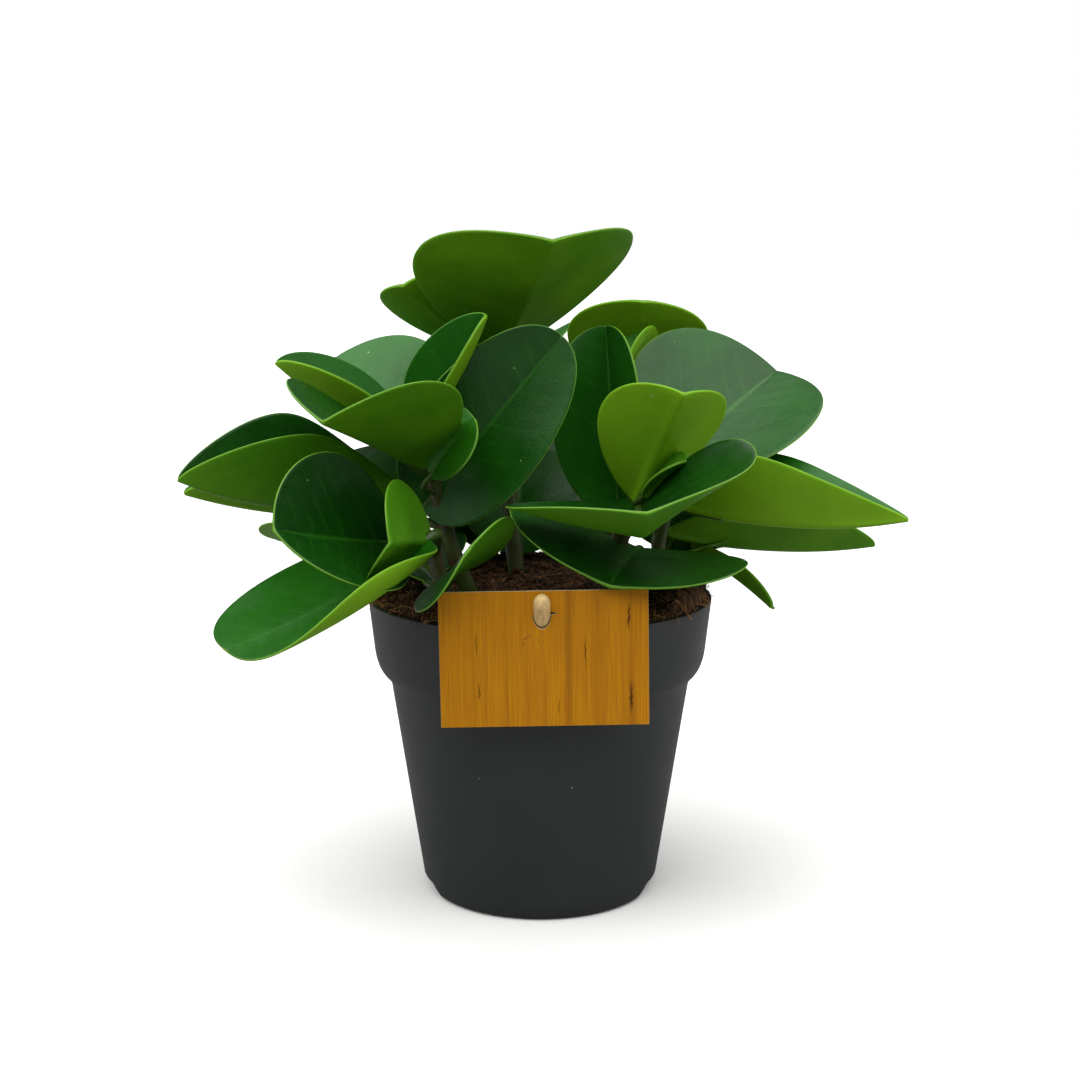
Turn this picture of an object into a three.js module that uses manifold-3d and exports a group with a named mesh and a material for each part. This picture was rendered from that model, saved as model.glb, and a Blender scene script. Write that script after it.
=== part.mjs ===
// Potted peperomia: six leafy stems in a 12 cm grower's pot, with a card label on a wooden stick.
// Millimetres, +Z up, the front towards -Y. The origin is the centre of the pot's foot.
import * as THREE from 'three';
import { mergeVertices } from 'three/addons/utils/BufferGeometryUtils.js';
import Module from 'manifold-3d';

const wasm = await Module();
wasm.setup();

// ---------------------------------------------------------------- driving dimensions

const GAP = 0.3; // clearance between pieces that touch
const WELD = 1e-4; // vertices closer than this are one vertex

const POT_SIDES = 40;
const POT = {
  height: 105, // foot to rim
  rimRadius: 60,
  collarRadius: 57.7, // foot of the collar's sloped face
  collarFoot: 84.7,
  neckRadius: 52.3, // where the tapered body meets the collar
  neckZ: 75,
  baseRadius: 42, // foot of the tapered body
  baseZ: 8,
  undersideZ: 4.5,
  wall: 1.6,
  floorTop: 6.3,
};
const FOOT_RING = { inner: 34, outer: 37 };
const FOOT_NOTCHES = [75, 180, 285]; // degrees from the front
const NOTCH = { width: 26.5, topWidth: 15.6, height: 5.2, start: 33.4, depth: 12 };
const DRAIN = { count: 6, radius: 4, circle: 24 };

const SOIL = { edgeZ: 104.6, crown: 3.5, tilt: 1.9, lump: 0.6, floorGap: 0.3, depthStep: 0.4 };
const SOIL_RINGS = [10, 21, 32, 43, 52]; // radii of the rings between the centre and the rim

const CARD = { width: 66.6, height: 44.2, thickness: 0.8, centre: [1.3, 96.5], backY: -60.4, roll: 1 };
const STICK = { radius: 2.7, length: 80, tip: [0.6, -67.5, 118], slope: 45, tipLength: 4.2, sides: 16 };

const BLADE = { lengthSteps: 7, sideSteps: 2, thickness: 1.4, margin: 0.9, midrib: 1.1, baseHalf: 1.3 };
const PETIOLE = { sides: 5, steps: 3, reach: 0.24, tipRadius: 0.75, least: 0.9, most: 2.1, perWidth: 0.032 };
const LOWEST_PETIOLE = 114; // a stalk leaves its stem above the soil
const STEM = { sides: 8, steps: 8, tipShare: 0.6 };
const FINEST_FACET = 0.1; // fused bodies keep no facet thinner than this
const HOLE_CLEARANCE = 0.42; // round each stem, in the soil

// ---------------------------------------------------------------- the leaves, stem by stem
// Each leaf has the two ends of its midrib, its full width, the way its upper face looks, and how far
// its left and right halves fold up from the midrib, in degrees. The shape gives cup (curl of each
// half, degrees), bend (rise of the midrib over its length), open (how the fold fades to the tip),
// twist (turn of the face from base to tip, degrees), round and point (fullness near the base and near
// the tip) and notch (dip of the rounded end).

const UP = [0, 0, 1];

/** One leaf's description. */
function leaf(base, tip, width, face, fold, shape = {}) {
  return { base, tip, width, face, fold, cup: [10, 10], bend: 0, open: 0, twist: 0, round: 0.8,
    point: 0.5, notch: 0.015, ...shape };
}

const LEAFY_STEMS = [
  {
    name: 'leafy_stem_left',
    path: [[-18, -7, 72], [-22, -11, 100], [-30, -18, 125], [-37, -24, 154]],
    radius: 3.6,
    leaves: [
      leaf([-47, -12, 143], [-115, -50, 153], 62, [0, -0.05, 1], [56, 72],
        { cup: [5, 5], bend: -0.09, point: 0.8, round: 0.9 }),
      leaf([-48, 4, 135], [-117, -31, 146], 40, [0, 0.1, 1], [38, 30], { bend: -0.05, point: 0.8 }),
      leaf([-37, -25, 153], [-66, -73, 174], 68, [0, -0.1, 1], [32, 22], { cup: [12, 12] }),
      leaf([-40, -5, 155], [-87, -21, 188], 34, [-0.1, -0.2, 1], [40, 50], { bend: -0.04, point: 0.7 }),
      leaf([-37, -5, 160], [-73, 28, 186], 56, [0.3, -0.7, 0.6], [10, 10]),
      leaf([-38, -21, 163], [-18, -39, 204], 32, [-0.35, -0.95, 0.3], [15, 70],
        { bend: -0.03, round: 0.5, point: 0.75 }),
      leaf([-36, -36, 152], [-21, -45, 171], 26, [-0.3, -0.8, 0.7], [10, 10], { bend: 0.03 }),
      leaf([-40, -21, 138], [7, -34, 197], 46, [0.05, -1, 0.3], [12, 15], { cup: [15, 15], round: 0.42 }),
      leaf([-46, -8, 144], [-91, 44, 142], 52, UP, [22, 12], { bend: 0.05 }),
      leaf([-37, -6, 149], [-41, 56, 152], 44, UP, [20, 16], { bend: 0.05 }),
    ],
  },
  {
    name: 'leafy_stem_front_left',
    path: [[-22, -22, 72], [-27, -27, 98], [-32, -34, 115], [-37, -40, 134]],
    radius: 3.4,
    leaves: [
      leaf([-45, -42, 131], [-79, -88, 143], 54, [0.5, -0.6, 0.5], [20, 15],
        { cup: [20, 20], bend: -0.04, round: 0.6 }),
      leaf([-28.5, -43, 121], [-22.5, -75, 134.6], 43, [-0.52, -0.1, 0.85], [-5, -6],
        { cup: [5, -14], twist: 30, round: 0.55 }),
      leaf([-37, -49, 134], [-95, -87, 106], 64, [-0.25, -0.42, 0.85], [-8, -5],
        { cup: [85, 5], bend: -0.05, open: 0.6, round: 0.5 }),
      leaf([-36, -40, 131], [-46, -83, 138], 40, [-0.9, 0.1, 0.2], [20, 20],
        { cup: [15, 15], round: 0.5 }),
      leaf([-44, -18, 120], [-94, 22, 121], 44, UP, [15, 15], { bend: 0.06 }),
      leaf([-38, -16, 113], [-60, 54, 109], 50, UP, [12, 12], { cup: [8, 8], bend: 0.05 }),
    ],
  },
  {
    name: 'leafy_stem_front',
    path: [[20, -11, 72], [22, -12, 98], [26, -15, 120], [31, -20, 143]],
    radius: 3.6,
    leaves: [
      leaf([27, -8, 135], [22, -11, 199], 46, [-0.1, -1, 0.2], [25, 55], { cup: [15, 15], round: 0.55 }),
      leaf([39, -2, 145], [85, 28, 181], 76, [-0.1, -0.75, 0.65], [12, 25],
        { cup: [6, 6], bend: 0.03, round: 0.7 }),
      leaf([32, -22, 142], [45, -56, 181], 45, [-0.2, 1, 0.6], [16, 22], { cup: [12, 12] }),
      leaf([33, -22, 142], [32, -86, 148], 88, UP, [40, 8],
        { cup: [15, 12], bend: -0.14, open: 0.9, point: 0.42 }),
      leaf([34, -30, 145], [47, -42, 158], 12, [-0.2, -0.2, 1], [30, 10], { bend: 0.05 }),
      leaf([34, -8, 123], [22, -66, 121.5], 82, [0.14, -0.2, 1], [8, 12], { bend: 0.03, point: 0.38, round: 0.7 }),
      leaf([39, -2, 136], [76, 46, 136], 46, UP, [20, 20], { cup: [12, 12], bend: 0.05 }),
    ],
  },
  {
    name: 'leafy_stem_tall',
    path: [[-7, 20, 72], [-8, 22, 98], [-12, 26, 150], [-15, 30, 187]],
    radius: 3.6,
    leaves: [
      leaf([-14, 15, 189], [4, -38, 228], 80, [-0.15, 0.54, 0.83], [15, 10], { cup: [14, 12], notch: 0.02 }),
      leaf([-18, 25, 188], [-46, -8, 213], 40, [0.3, 0.6, 0.6], [20, 0], { cup: [15, 15] }),
      leaf([-10, 30, 180], [-6, 86, 187], 44, UP, [20, 20], { cup: [12, 12], bend: 0.04 }),
      leaf([-18, 32, 175], [-40, 86, 174], 52, UP, [20, 20], { cup: [12, 12], bend: 0.05 }),
      leaf([-22, 26, 170], [-76, 62, 163], 50, UP, [18, 18], { bend: 0.05 }),
      leaf([-12, 41, 114], [-24, 61, 150], 40, [0, -1, 0.4], [8, 8], { bend: 0.04, round: 0.45 }),
      leaf([-8, 34, 113], [-7, 50, 150], 50, [0, -1, 0.4], [12, 12], { bend: 0.04, round: 0.6 }),
      leaf([-14, 28, 186], [-12, 46, 212], 28, [0, -0.7, 0.5], [30, 30], { bend: 0.03 }),
    ],
  },
  {
    name: 'leafy_stem_back',
    path: [[19, 29, 72], [21, 31, 98], [26, 34, 130], [28, 30, 168]],
    radius: 3.4,
    leaves: [
      leaf([34, 58, 169], [37, 32, 206], 52, [0, 1, 0.4], [0, 0], { cup: [0, 0], bend: 0.05, notch: 0 }),
      leaf([26, 22, 167], [42, 39, 194], 24, [-0.7, -0.2, 0.5], [40, 40]),
      leaf([36, 46, 160], [88, 78, 164], 56, UP, [20, 20], { cup: [12, 12], bend: 0.05 }),
      leaf([32, 52, 154], [56, 89, 146], 50, UP, [20, 20], { cup: [12, 12], bend: 0.06 }),
      leaf([13, 50, 116], [12, 69, 154], 42, [0, -1, 0.4], [8, 8], { bend: 0.04, round: 0.45 }),
      leaf([30, 60, 166], [28, 80, 190], 28, [0, -0.6, 0.6], [30, 30], { bend: 0.03 }),
    ],
  },
  {
    name: 'leafy_stem_right',
    path: [[34, 6, 72], [37, 5, 98], [40, 0, 115], [44, -4, 135]],
    radius: 3.2,
    leaves: [
      leaf([44, -8, 139], [119, -43, 139], 54, UP, [50, 62],
        { cup: [5, 5], bend: -0.06, point: 1.05, round: 0.6 }),
      leaf([45, 8, 126], [119, 12, 121], 44, [0, 0.1, 1], [40, 45], { bend: -0.05, point: 0.9 }),
      leaf([55, 14, 120], [80, -16, 104], 13, [0.85, 0.1, 0.45], [10, 10], { bend: 0.03 }),
      leaf([50, 10, 118], [96, 46, 114], 50, UP, [16, 16], { bend: 0.05 }),
      leaf([44, 12, 119], [52, 36, 134], 44, [0, -1, 0.4], [8, 8], { bend: 0.04, round: 0.4 }),
    ],
  },
];

// ---------------------------------------------------------------- small helpers

const vector = (xyz) => new THREE.Vector3(...xyz);
const radians = THREE.MathUtils.degToRad;
const clamp = THREE.MathUtils.clamp;

/** The closed mesh of a geometry, with its shared vertices merged, as a solid. */
function solidOf(geometry) {
  const bare = new THREE.BufferGeometry();
  bare.setAttribute('position', geometry.getAttribute('position'));
  bare.setIndex(geometry.getIndex());
  const merged = mergeVertices(bare, WELD);
  const corners = merged.getIndex().array;
  const triVerts = [];
  for (let i = 0; i < corners.length; i += 3) {
    const [a, b, c] = corners.subarray(i, i + 3);
    if (a !== b && b !== c && c !== a) triVerts.push(a, b, c);
  }
  return new wasm.Manifold(new wasm.Mesh({
    numProp: 3,
    vertProperties: new Float32Array(merged.getAttribute('position').array),
    triVerts: new Uint32Array(triVerts),
  }));
}

/** A solid's surface as a geometry. */
function geometryOf(solid) {
  const { vertProperties, triVerts } = solid.getMesh();
  const geometry = new THREE.BufferGeometry();
  geometry.setAttribute('position', new THREE.BufferAttribute(new Float32Array(vertProperties), 3));
  geometry.setIndex(new THREE.BufferAttribute(new Uint32Array(triVerts), 1));
  geometry.computeVertexNormals();
  return geometry;
}

/** A named piece in one plain finish. */
function piece(name, solid, color, roughness) {
  const material = new THREE.MeshStandardMaterial({ color, roughness, metalness: 0, flatShading: true });
  const mesh = new THREE.Mesh(geometryOf(solid), material);
  mesh.name = name;
  return mesh;
}

/** A profile of [radius, z] points turned about +Z, with a facet corner at the front. */
function turned(profile, sides) {
  const lathe = new THREE.LatheGeometry(profile.map(([r, z]) => new THREE.Vector2(r, z)), sides);
  return lathe.rotateX(Math.PI / 2);
}

/** A tube bent along a curve through the points, with radiusAt(t) for t from 0 to 1 along it. */
function limb(points, radiusAt, sides, steps) {
  const curve = new THREE.CatmullRomCurve3(points);
  const { normals, binormals } = curve.computeFrenetFrames(steps);
  const tube = new THREE.CylinderGeometry(1, 1, 1, sides, steps);
  const place = tube.getAttribute('position');
  for (let i = 0; i < place.count; i++) {
    const step = Math.round((place.getY(i) + 0.5) * steps);
    const along = step / steps;
    const at = curve.getPointAt(along);
    at.addScaledVector(normals[step], place.getX(i) * radiusAt(along));
    at.addScaledVector(binormals[step], -place.getZ(i) * radiusAt(along));
    place.setXYZ(i, at.x, at.y, at.z);
  }
  return solidOf(tube);
}

// ---------------------------------------------------------------- the pot

/** The bore's radius in the collar at a height. */
function collarBore(z) {
  const slope = (POT.rimRadius - POT.collarRadius) / (POT.height - POT.collarFoot);
  return POT.rimRadius - POT.wall - (POT.height - z) * slope;
}

/** The bore's profile from the floor's edge up to the rim, moved in by clearance. */
function boreProfile(clearance) {
  const { wall, baseRadius, baseZ, neckRadius, neckZ, collarRadius, collarFoot, floorTop } = POT;
  return [
    [baseRadius - wall - 1.6 - clearance, floorTop],
    [baseRadius - wall - clearance, baseZ + 0.4],
    [neckRadius - wall - clearance, neckZ + 0.8],
    [neckRadius + 0.5 - wall - clearance, neckZ + 2],
    [collarRadius - 3.4 - wall - clearance, neckZ + 3.5 + clearance / 2],
    [collarRadius - 1.5 - wall - clearance, collarFoot - 4.4 + clearance / 2],
    [collarRadius - wall - clearance, collarFoot + 0.2],
  ];
}

/** The pot: a tapered body, a tall collar, a rounded foot with notches, and drain holes. */
function potSolid() {
  const { height, rimRadius, collarRadius, collarFoot, neckRadius, neckZ, baseRadius, baseZ } = POT;
  const { undersideZ, wall, floorTop } = POT;
  const outer = [
    [0, undersideZ],
    [FOOT_RING.inner, undersideZ],
    [FOOT_RING.inner, 0],
    [FOOT_RING.outer, 0],
    [baseRadius - 2.7, 0.9],
    [baseRadius - 1.2, 2.7],
    [baseRadius - 0.5, 5],
    [baseRadius, baseZ],
    [neckRadius, neckZ],
    [neckRadius + 0.9, neckZ + 1.9],
    [collarRadius - 1.9, neckZ + 4.7],
    [collarRadius - 0.8, neckZ + 6.4],
    [collarRadius, collarFoot],
    [rimRadius, height - 0.8],
    [rimRadius - 0.4, height],
  ];
  const inner = boreProfile(0);
  inner.push([rimRadius - wall, height - 0.6], [rimRadius - wall + 0.4, height]);
  let pot = solidOf(turned([...outer, ...inner.reverse(), [0, floorTop]], POT_SIDES));

  const notchShape = new THREE.Shape([
    new THREE.Vector2(-NOTCH.width / 2, -1),
    new THREE.Vector2(NOTCH.width / 2, -1),
    new THREE.Vector2(NOTCH.topWidth / 2, NOTCH.height),
    new THREE.Vector2(-NOTCH.topWidth / 2, NOTCH.height),
  ]);
  for (const angle of FOOT_NOTCHES) {
    const notch = new THREE.ExtrudeGeometry(notchShape, { depth: NOTCH.depth, bevelEnabled: false });
    notch.rotateX(Math.PI / 2);
    notch.translate(0, -NOTCH.start, 0);
    notch.rotateZ(radians(angle));
    pot = pot.subtract(solidOf(notch));
  }
  for (let k = 0; k < DRAIN.count; k++) {
    const hole = new THREE.CylinderGeometry(DRAIN.radius, DRAIN.radius, 8, 12);
    hole.rotateX(Math.PI / 2);
    hole.translate(0, -DRAIN.circle, (undersideZ + floorTop) / 2);
    hole.rotateZ(radians(360 / DRAIN.count) * (k + 0.5));
    pot = pot.subtract(solidOf(hole));
  }
  return pot;
}

// ---------------------------------------------------------------- the soil

/** Height of the soil over its edge: heaped in the middle, higher on the right, and lumpy. */
function heap(x, y) {
  const reach = Math.hypot(x, y) / POT.rimRadius;
  const crown = SOIL.crown * (1 - reach * reach);
  const tilt = (SOIL.tilt * x) / POT.rimRadius;
  const lumps = SOIL.lump * (Math.sin(x / 5.3 + 1.3) * Math.cos(y / 4.7) + Math.sin((x + y) / 8.1));
  return crown + tilt + lumps;
}

/** The soil: it fills the pot's bore down to the floor, with holes for the stems and the stick. */
function soilSolid(holes) {
  const wallProfile = boreProfile(GAP);
  wallProfile[0][1] += SOIL.floorGap;
  const top = SOIL.edgeZ;
  const rings = SOIL_RINGS.map((radius) => [radius, top]).reverse();
  const profile = [[0, wallProfile[0][1]], ...wallProfile, [collarBore(top) - GAP, top], ...rings, [0, top]];
  const block = turned(profile, POT_SIDES);
  const place = block.getAttribute('position');
  for (let i = 0; i < place.count; i++) {
    if (Math.abs(place.getZ(i) - top) > WELD) continue;
    const [x, y] = [place.getX(i), place.getY(i)];
    const z = top + heap(x, y);
    const radius = Math.hypot(x, y);
    const edge = Math.min(collarBore(z), collarBore(POT.height)) - GAP;
    const narrow = radius > SOIL_RINGS.at(-1) + 1 ? edge / radius : 1;
    place.setXYZ(i, x * narrow, y * narrow, z);
  }
  return holes.reduce((soil, hole) => soil.subtract(hole), solidOf(block));
}

// ---------------------------------------------------------------- the leafy stems

/** Share of a leaf's length reached at step u, with the dip of the notch near the end. */
function lengthShare(u, notch) {
  return (1 - Math.cos(Math.PI * u)) / 2 + notch * Math.sin(Math.PI * clamp((u - 0.6) / 0.4, 0, 1));
}

/** Half-width at step u as a share of the widest: x^round (1 - x)^point, scaled to peak at 1. */
function widthShare(u, round, point) {
  const x = (1 - Math.cos(Math.PI * u)) / 2;
  const peak = round / (round + point);
  return ((1 - x) ** point * x ** round) / ((1 - peak) ** point * peak ** round);
}

/** The leaf's upper surface: a point for a share s of its length, a side (0 or 1) and a distance out. */
function upperSurface({ base, tip, width, face, fold, cup, bend, open, twist }) {
  const root = vector(base);
  const along = vector(tip).sub(root);
  const length = along.length();
  along.normalize();
  const level = vector(face);
  level.addScaledVector(along, -level.dot(along)).normalize();
  return (s, side, distance) => {
    const normal = level.clone().applyAxisAngle(along, radians(twist) * (s - 0.5));
    const across = along.clone().cross(normal);
    const fade = 1 - open * (s - 0.5);
    const rise = radians(fold[side]) * fade;
    const curl = radians(cup[side]) * fade;
    const turn = (curl * distance) / (width / 2);
    let out = distance * Math.cos(rise);
    let up = distance * Math.sin(rise);
    if (Math.abs(curl) > 1e-4) {
      const bow = width / 2 / curl;
      out = bow * (Math.sin(rise + turn) - Math.sin(rise));
      up = bow * (Math.cos(rise) - Math.cos(rise + turn));
    }
    const local = normal.clone().addScaledVector(along, -4 * bend * (1 - 2 * s)).normalize();
    const point = root.clone().addScaledVector(along, length * s);
    point.addScaledVector(normal, 4 * bend * length * s * (1 - s));
    return point.addScaledVector(across, (side ? 1 : -1) * out).addScaledVector(local, up);
  };
}

/** Rows of points over the leaf's upper surface, from the base to the tip, left margin to right. */
function bladeRows(shape) {
  const surface = upperSurface(shape);
  const { lengthSteps, sideSteps, baseHalf } = BLADE;
  const rows = [];
  for (let i = 0; i <= lengthSteps; i++) {
    const u = i / lengthSteps;
    const share = widthShare(u, shape.round, shape.point);
    const half = (share * shape.width) / 2 + baseHalf * (1 - u) * (1 - share);
    const row = [];
    for (let j = -sideSteps; j <= sideSteps; j++) {
      const v = Math.abs(j) / sideSteps;
      const s = (1 - v) * u + v * lengthShare(u, shape.notch);
      row.push(surface(s, j < 0 ? 0 : 1, half * v));
    }
    rows.push(row);
  }
  return rows;
}

/** The points under the blade, a thickness below its upper surface; the tip's are one point. */
function undersideRows(rows) {
  const { lengthSteps, sideSteps, thickness, margin, midrib } = BLADE;
  const columns = 2 * sideSteps;
  const under = rows.map((row, i) => row.map((point, j) => {
    const near = clamp(i, 1, lengthSteps - 1);
    const along = rows[Math.min(i + 1, lengthSteps)][j].clone().sub(rows[Math.max(i - 1, 0)][j]);
    const right = rows[near][Math.min(j + 1, columns)].clone().sub(rows[near][Math.max(j - 1, 0)]);
    const v = Math.abs(j - sideSteps) / sideSteps;
    const rib = v === 0 ? midrib * (1 - i / lengthSteps) : 0;
    const depth = margin + (thickness - margin) * (1 - v * v) + rib;
    return point.clone().addScaledVector(right.cross(along).normalize(), -depth);
  }));
  under[lengthSteps].fill(under[lengthSteps][sideSteps]);
  return under;
}

/** A leaf's blade: both faces split into triangles alike, closed along the margin and at the base. */
function bladeSolid(shape) {
  const upper = bladeRows(shape);
  const under = undersideRows(upper);
  const columns = upper[0].length;
  const points = [...upper.flat(), ...under.flat()];
  const lower = points.length / 2;
  const at = (i, j) => i * columns + j;
  const faces = [];
  for (let i = 0; i < BLADE.lengthSteps; i++) {
    for (let j = 0; j < columns - 1; j++) {
      const [a, b, c, d] = [at(i, j), at(i, j + 1), at(i + 1, j), at(i + 1, j + 1)];
      faces.push(a, b, c, b, d, c);
      faces.push(a + lower, c + lower, b + lower, b + lower, c + lower, d + lower);
    }
    const [left, nextLeft] = [at(i, 0), at(i + 1, 0)];
    faces.push(left, nextLeft, left + lower, nextLeft, nextLeft + lower, left + lower);
    const [right, nextRight] = [at(i, columns - 1), at(i + 1, columns - 1)];
    faces.push(right, right + lower, nextRight, nextRight, right + lower, nextRight + lower);
  }
  for (let j = 0; j < columns - 1; j++) {
    faces.push(j, j + lower, j + 1, j + 1, j + lower, j + 1 + lower);
  }
  const blade = new THREE.BufferGeometry();
  blade.setAttribute('position', new THREE.Float32BufferAttribute(points.flatMap((p) => p.toArray()), 3));
  blade.setIndex(faces);
  return solidOf(blade);
}

/** The stem's axis at a height, or at its nearest end. */
function stemAxisAt(curve, z) {
  let best = curve.getPointAt(0.4);
  for (let t = 0.4; t <= 0.98; t += 0.02) {
    const point = curve.getPointAt(t);
    if (Math.abs(point.z - z) < Math.abs(best.z - z)) best = point;
  }
  return best;
}

/** A leaf's stalk, from the stem's axis to a taper under the first quarter of the midrib. */
function petioleSolid(shape, stemCurve) {
  const surface = upperSurface(shape);
  const base = vector(shape.base);
  const along = vector(shape.tip).sub(base).normalize();
  const below = vector(shape.face).addScaledVector(along, -vector(shape.face).dot(along)).normalize().negate();
  const radius = clamp(shape.width * PETIOLE.perWidth, PETIOLE.least, PETIOLE.most);
  const level = stemAxisAt(stemCurve, shape.base[2]);
  const drop = 3 + 0.45 * Math.hypot(level.x - base.x, level.y - base.y);
  const root = stemAxisAt(stemCurve, Math.max(shape.base[2] - drop, LOWEST_PETIOLE));
  const points = [
    root,
    base.clone().addScaledVector(along, -0.3 * root.distanceTo(base)).addScaledVector(below, radius * 0.8),
    base.clone().addScaledVector(below, radius * 0.8),
    surface(PETIOLE.reach, 1, 0).addScaledVector(below, PETIOLE.tipRadius + 0.5),
  ];
  const radiusAt = (t) => radius + (PETIOLE.tipRadius - radius) * clamp((t - 0.45) / 0.55, 0, 1);
  return limb(points, radiusAt, PETIOLE.sides, PETIOLE.steps);
}

/** The curve of a stem, with its foot moved down by a depth. */
function stemPath(path, depth) {
  const points = path.map(vector);
  points[0].z -= depth;
  return points;
}

/** A stem with its leaves grown on it, as one body. */
function leafyStemSolid({ path, radius, leaves }) {
  const points = stemPath(path, 0);
  const curve = new THREE.CatmullRomCurve3(points);
  const radiusAt = (t) => radius * (1 + (STEM.tipShare - 1) * t);
  let body = limb(points, radiusAt, STEM.sides, STEM.steps);
  for (const shape of leaves) {
    body = body.add(petioleSolid(shape, curve)).add(bladeSolid(shape));
  }
  const bodies = body.simplify(FINEST_FACET).decompose().sort((a, b) => b.volume() - a.volume());
  return bodies[0];
}

/** The plain hole that a stem stands in. */
function stemHole({ path, radius }) {
  const radiusAt = (t) => radius * (1 + (STEM.tipShare - 1) * t) + HOLE_CLEARANCE;
  return limb(stemPath(path, SOIL.depthStep), radiusAt, STEM.sides, STEM.steps);
}

// ---------------------------------------------------------------- the label

/** A round rod along the stick's line, egg-rounded at its upper end, grown by a clearance. */
function stickSolid(clearance) {
  const radius = STICK.radius + clearance;
  const profile = [[0, -STICK.length - clearance], [radius, -STICK.length - clearance]];
  for (let k = 0; k <= 5; k++) {
    const angle = (k / 5) * (Math.PI / 2);
    const height = (STICK.tipLength + clearance) * Math.sin(angle);
    profile.push([k === 5 ? 0 : radius * Math.cos(angle), height - STICK.tipLength]);
  }
  const rod = turned(profile, STICK.sides);
  rod.rotateX(radians(STICK.slope));
  return solidOf(rod.translate(...STICK.tip));
}

/** The card: a thin board with an oval hole that the stick passes through. */
function cardSolid() {
  const { width, height, thickness, centre, backY, roll } = CARD;
  const board = new THREE.Shape([
    new THREE.Vector2(-width / 2, -height / 2),
    new THREE.Vector2(width / 2, -height / 2),
    new THREE.Vector2(width / 2, height / 2),
    new THREE.Vector2(-width / 2, height / 2),
  ]);
  const middleY = backY - thickness / 2;
  const crossing = STICK.tip[2] - (middleY - STICK.tip[1]) * Math.tan(radians(STICK.slope));
  const across = STICK.radius + 1.3 * GAP;
  const lengthways = across / Math.cos(radians(STICK.slope)) + thickness / 2;
  const middle = new THREE.Vector2(STICK.tip[0] - centre[0], crossing - centre[1]);
  middle.rotateAround(new THREE.Vector2(), radians(-roll));
  const hole = new THREE.Path();
  hole.absellipse(middle.x, middle.y, across, lengthways, 0, 2 * Math.PI, true);
  board.holes.push(hole);
  const card = new THREE.ExtrudeGeometry(board, { depth: thickness, bevelEnabled: false, curveSegments: 8 });
  card.rotateX(Math.PI / 2).rotateY(radians(-roll));
  return solidOf(card.translate(centre[0], backY, centre[1]));
}

// ---------------------------------------------------------------- the whole object

const stickHole = stickSolid(GAP);
const planter = new THREE.Group();
planter.add(piece('pot', potSolid(), 0x3f4246, 0.5));
planter.add(piece('soil', soilSolid([...LEAFY_STEMS.map(stemHole), stickHole]), 0x33241a, 0.95));

const plant = new THREE.Group();
for (const stem of LEAFY_STEMS) {
  plant.add(piece(stem.name, leafyStemSolid(stem), 0x4a8a1e, 0.42));
}

const label = new THREE.Group();
label.add(piece('label_card', cardSolid(), 0xc8932f, 0.55));
label.add(piece('label_stick', stickSolid(0), 0xd9c8a4, 0.7));

const pottedPeperomia = new THREE.Group();
pottedPeperomia.add(planter, plant, label);

export default pottedPeperomia;
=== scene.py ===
"""The look of a young peperomia in a 12 cm grower's pot, with a card label on a wooden stick.

Scene units are metres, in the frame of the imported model: +Z up, the front towards -Y. The sizes
of the real pieces are given in millimetres and turned to metres with MM.
"""

import logging
import math
import random
from collections.abc import Callable, Iterable, Sequence
from dataclasses import dataclass
from enum import Enum

import bmesh
import bpy
from mathutils import Matrix, Vector, noise


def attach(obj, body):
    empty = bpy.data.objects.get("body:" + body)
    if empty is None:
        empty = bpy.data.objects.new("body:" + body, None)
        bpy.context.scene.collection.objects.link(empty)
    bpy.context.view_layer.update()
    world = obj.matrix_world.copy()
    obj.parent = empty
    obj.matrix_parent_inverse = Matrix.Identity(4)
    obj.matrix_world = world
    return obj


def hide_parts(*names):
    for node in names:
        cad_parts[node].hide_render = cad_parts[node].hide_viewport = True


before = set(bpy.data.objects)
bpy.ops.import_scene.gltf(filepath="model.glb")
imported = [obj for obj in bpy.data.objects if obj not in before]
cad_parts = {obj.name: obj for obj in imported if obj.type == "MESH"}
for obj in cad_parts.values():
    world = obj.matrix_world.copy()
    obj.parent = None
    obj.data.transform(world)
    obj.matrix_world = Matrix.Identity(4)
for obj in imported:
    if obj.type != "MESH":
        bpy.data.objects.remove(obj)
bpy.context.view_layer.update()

MM = 0.001
FULL_TURN = 2 * math.pi
logger = logging.getLogger("potted_peperomia")


# ---------------------------------------------------------------- small helpers


def linear(hex_code: str) -> tuple[float, float, float, float]:
    """Turns an sRGB hex colour into the linear colour that shaders use.

    Args:
        hex_code: The colour as six hex digits after a "#".

    Returns:
        Red, green, blue and an alpha of 1, all linear.
    """
    shares = [int(hex_code[i : i + 2], 16) / 255 for i in (1, 3, 5)]
    light = [c / 12.92 if c <= 0.04045 else ((c + 0.055) / 1.055) ** 2.4 for c in shares]
    return (*light, 1.0)


def per_metre(size_mm: float) -> float:
    """The texture scale whose features are size_mm across."""
    return 1 / (size_mm * MM)


def clamp(value: float, low: float = 0.0, high: float = 1.0) -> float:
    """The value, kept between low and high."""
    return max(low, min(high, value))


def add_node(
    tree: bpy.types.NodeTree,
    kind: str,
    settings: dict | None = None,
    inputs: dict | None = None,
) -> bpy.types.Node:
    """Adds a node, sets its properties, and fills or links its inputs.

    Args:
        tree: The node tree that gets the node.
        kind: Blender's name for the kind of node.
        settings: Property values by name.
        inputs: A value, or an output socket to link, by the input's name or place.

    Returns:
        The new node.
    """
    node = tree.nodes.new(kind)
    for name, value in (settings or {}).items():
        setattr(node, name, value)
    for name, value in (inputs or {}).items():
        if isinstance(value, bpy.types.NodeSocket):
            tree.links.new(value, node.inputs[name])
        else:
            node.inputs[name].default_value = value
    return node


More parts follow.
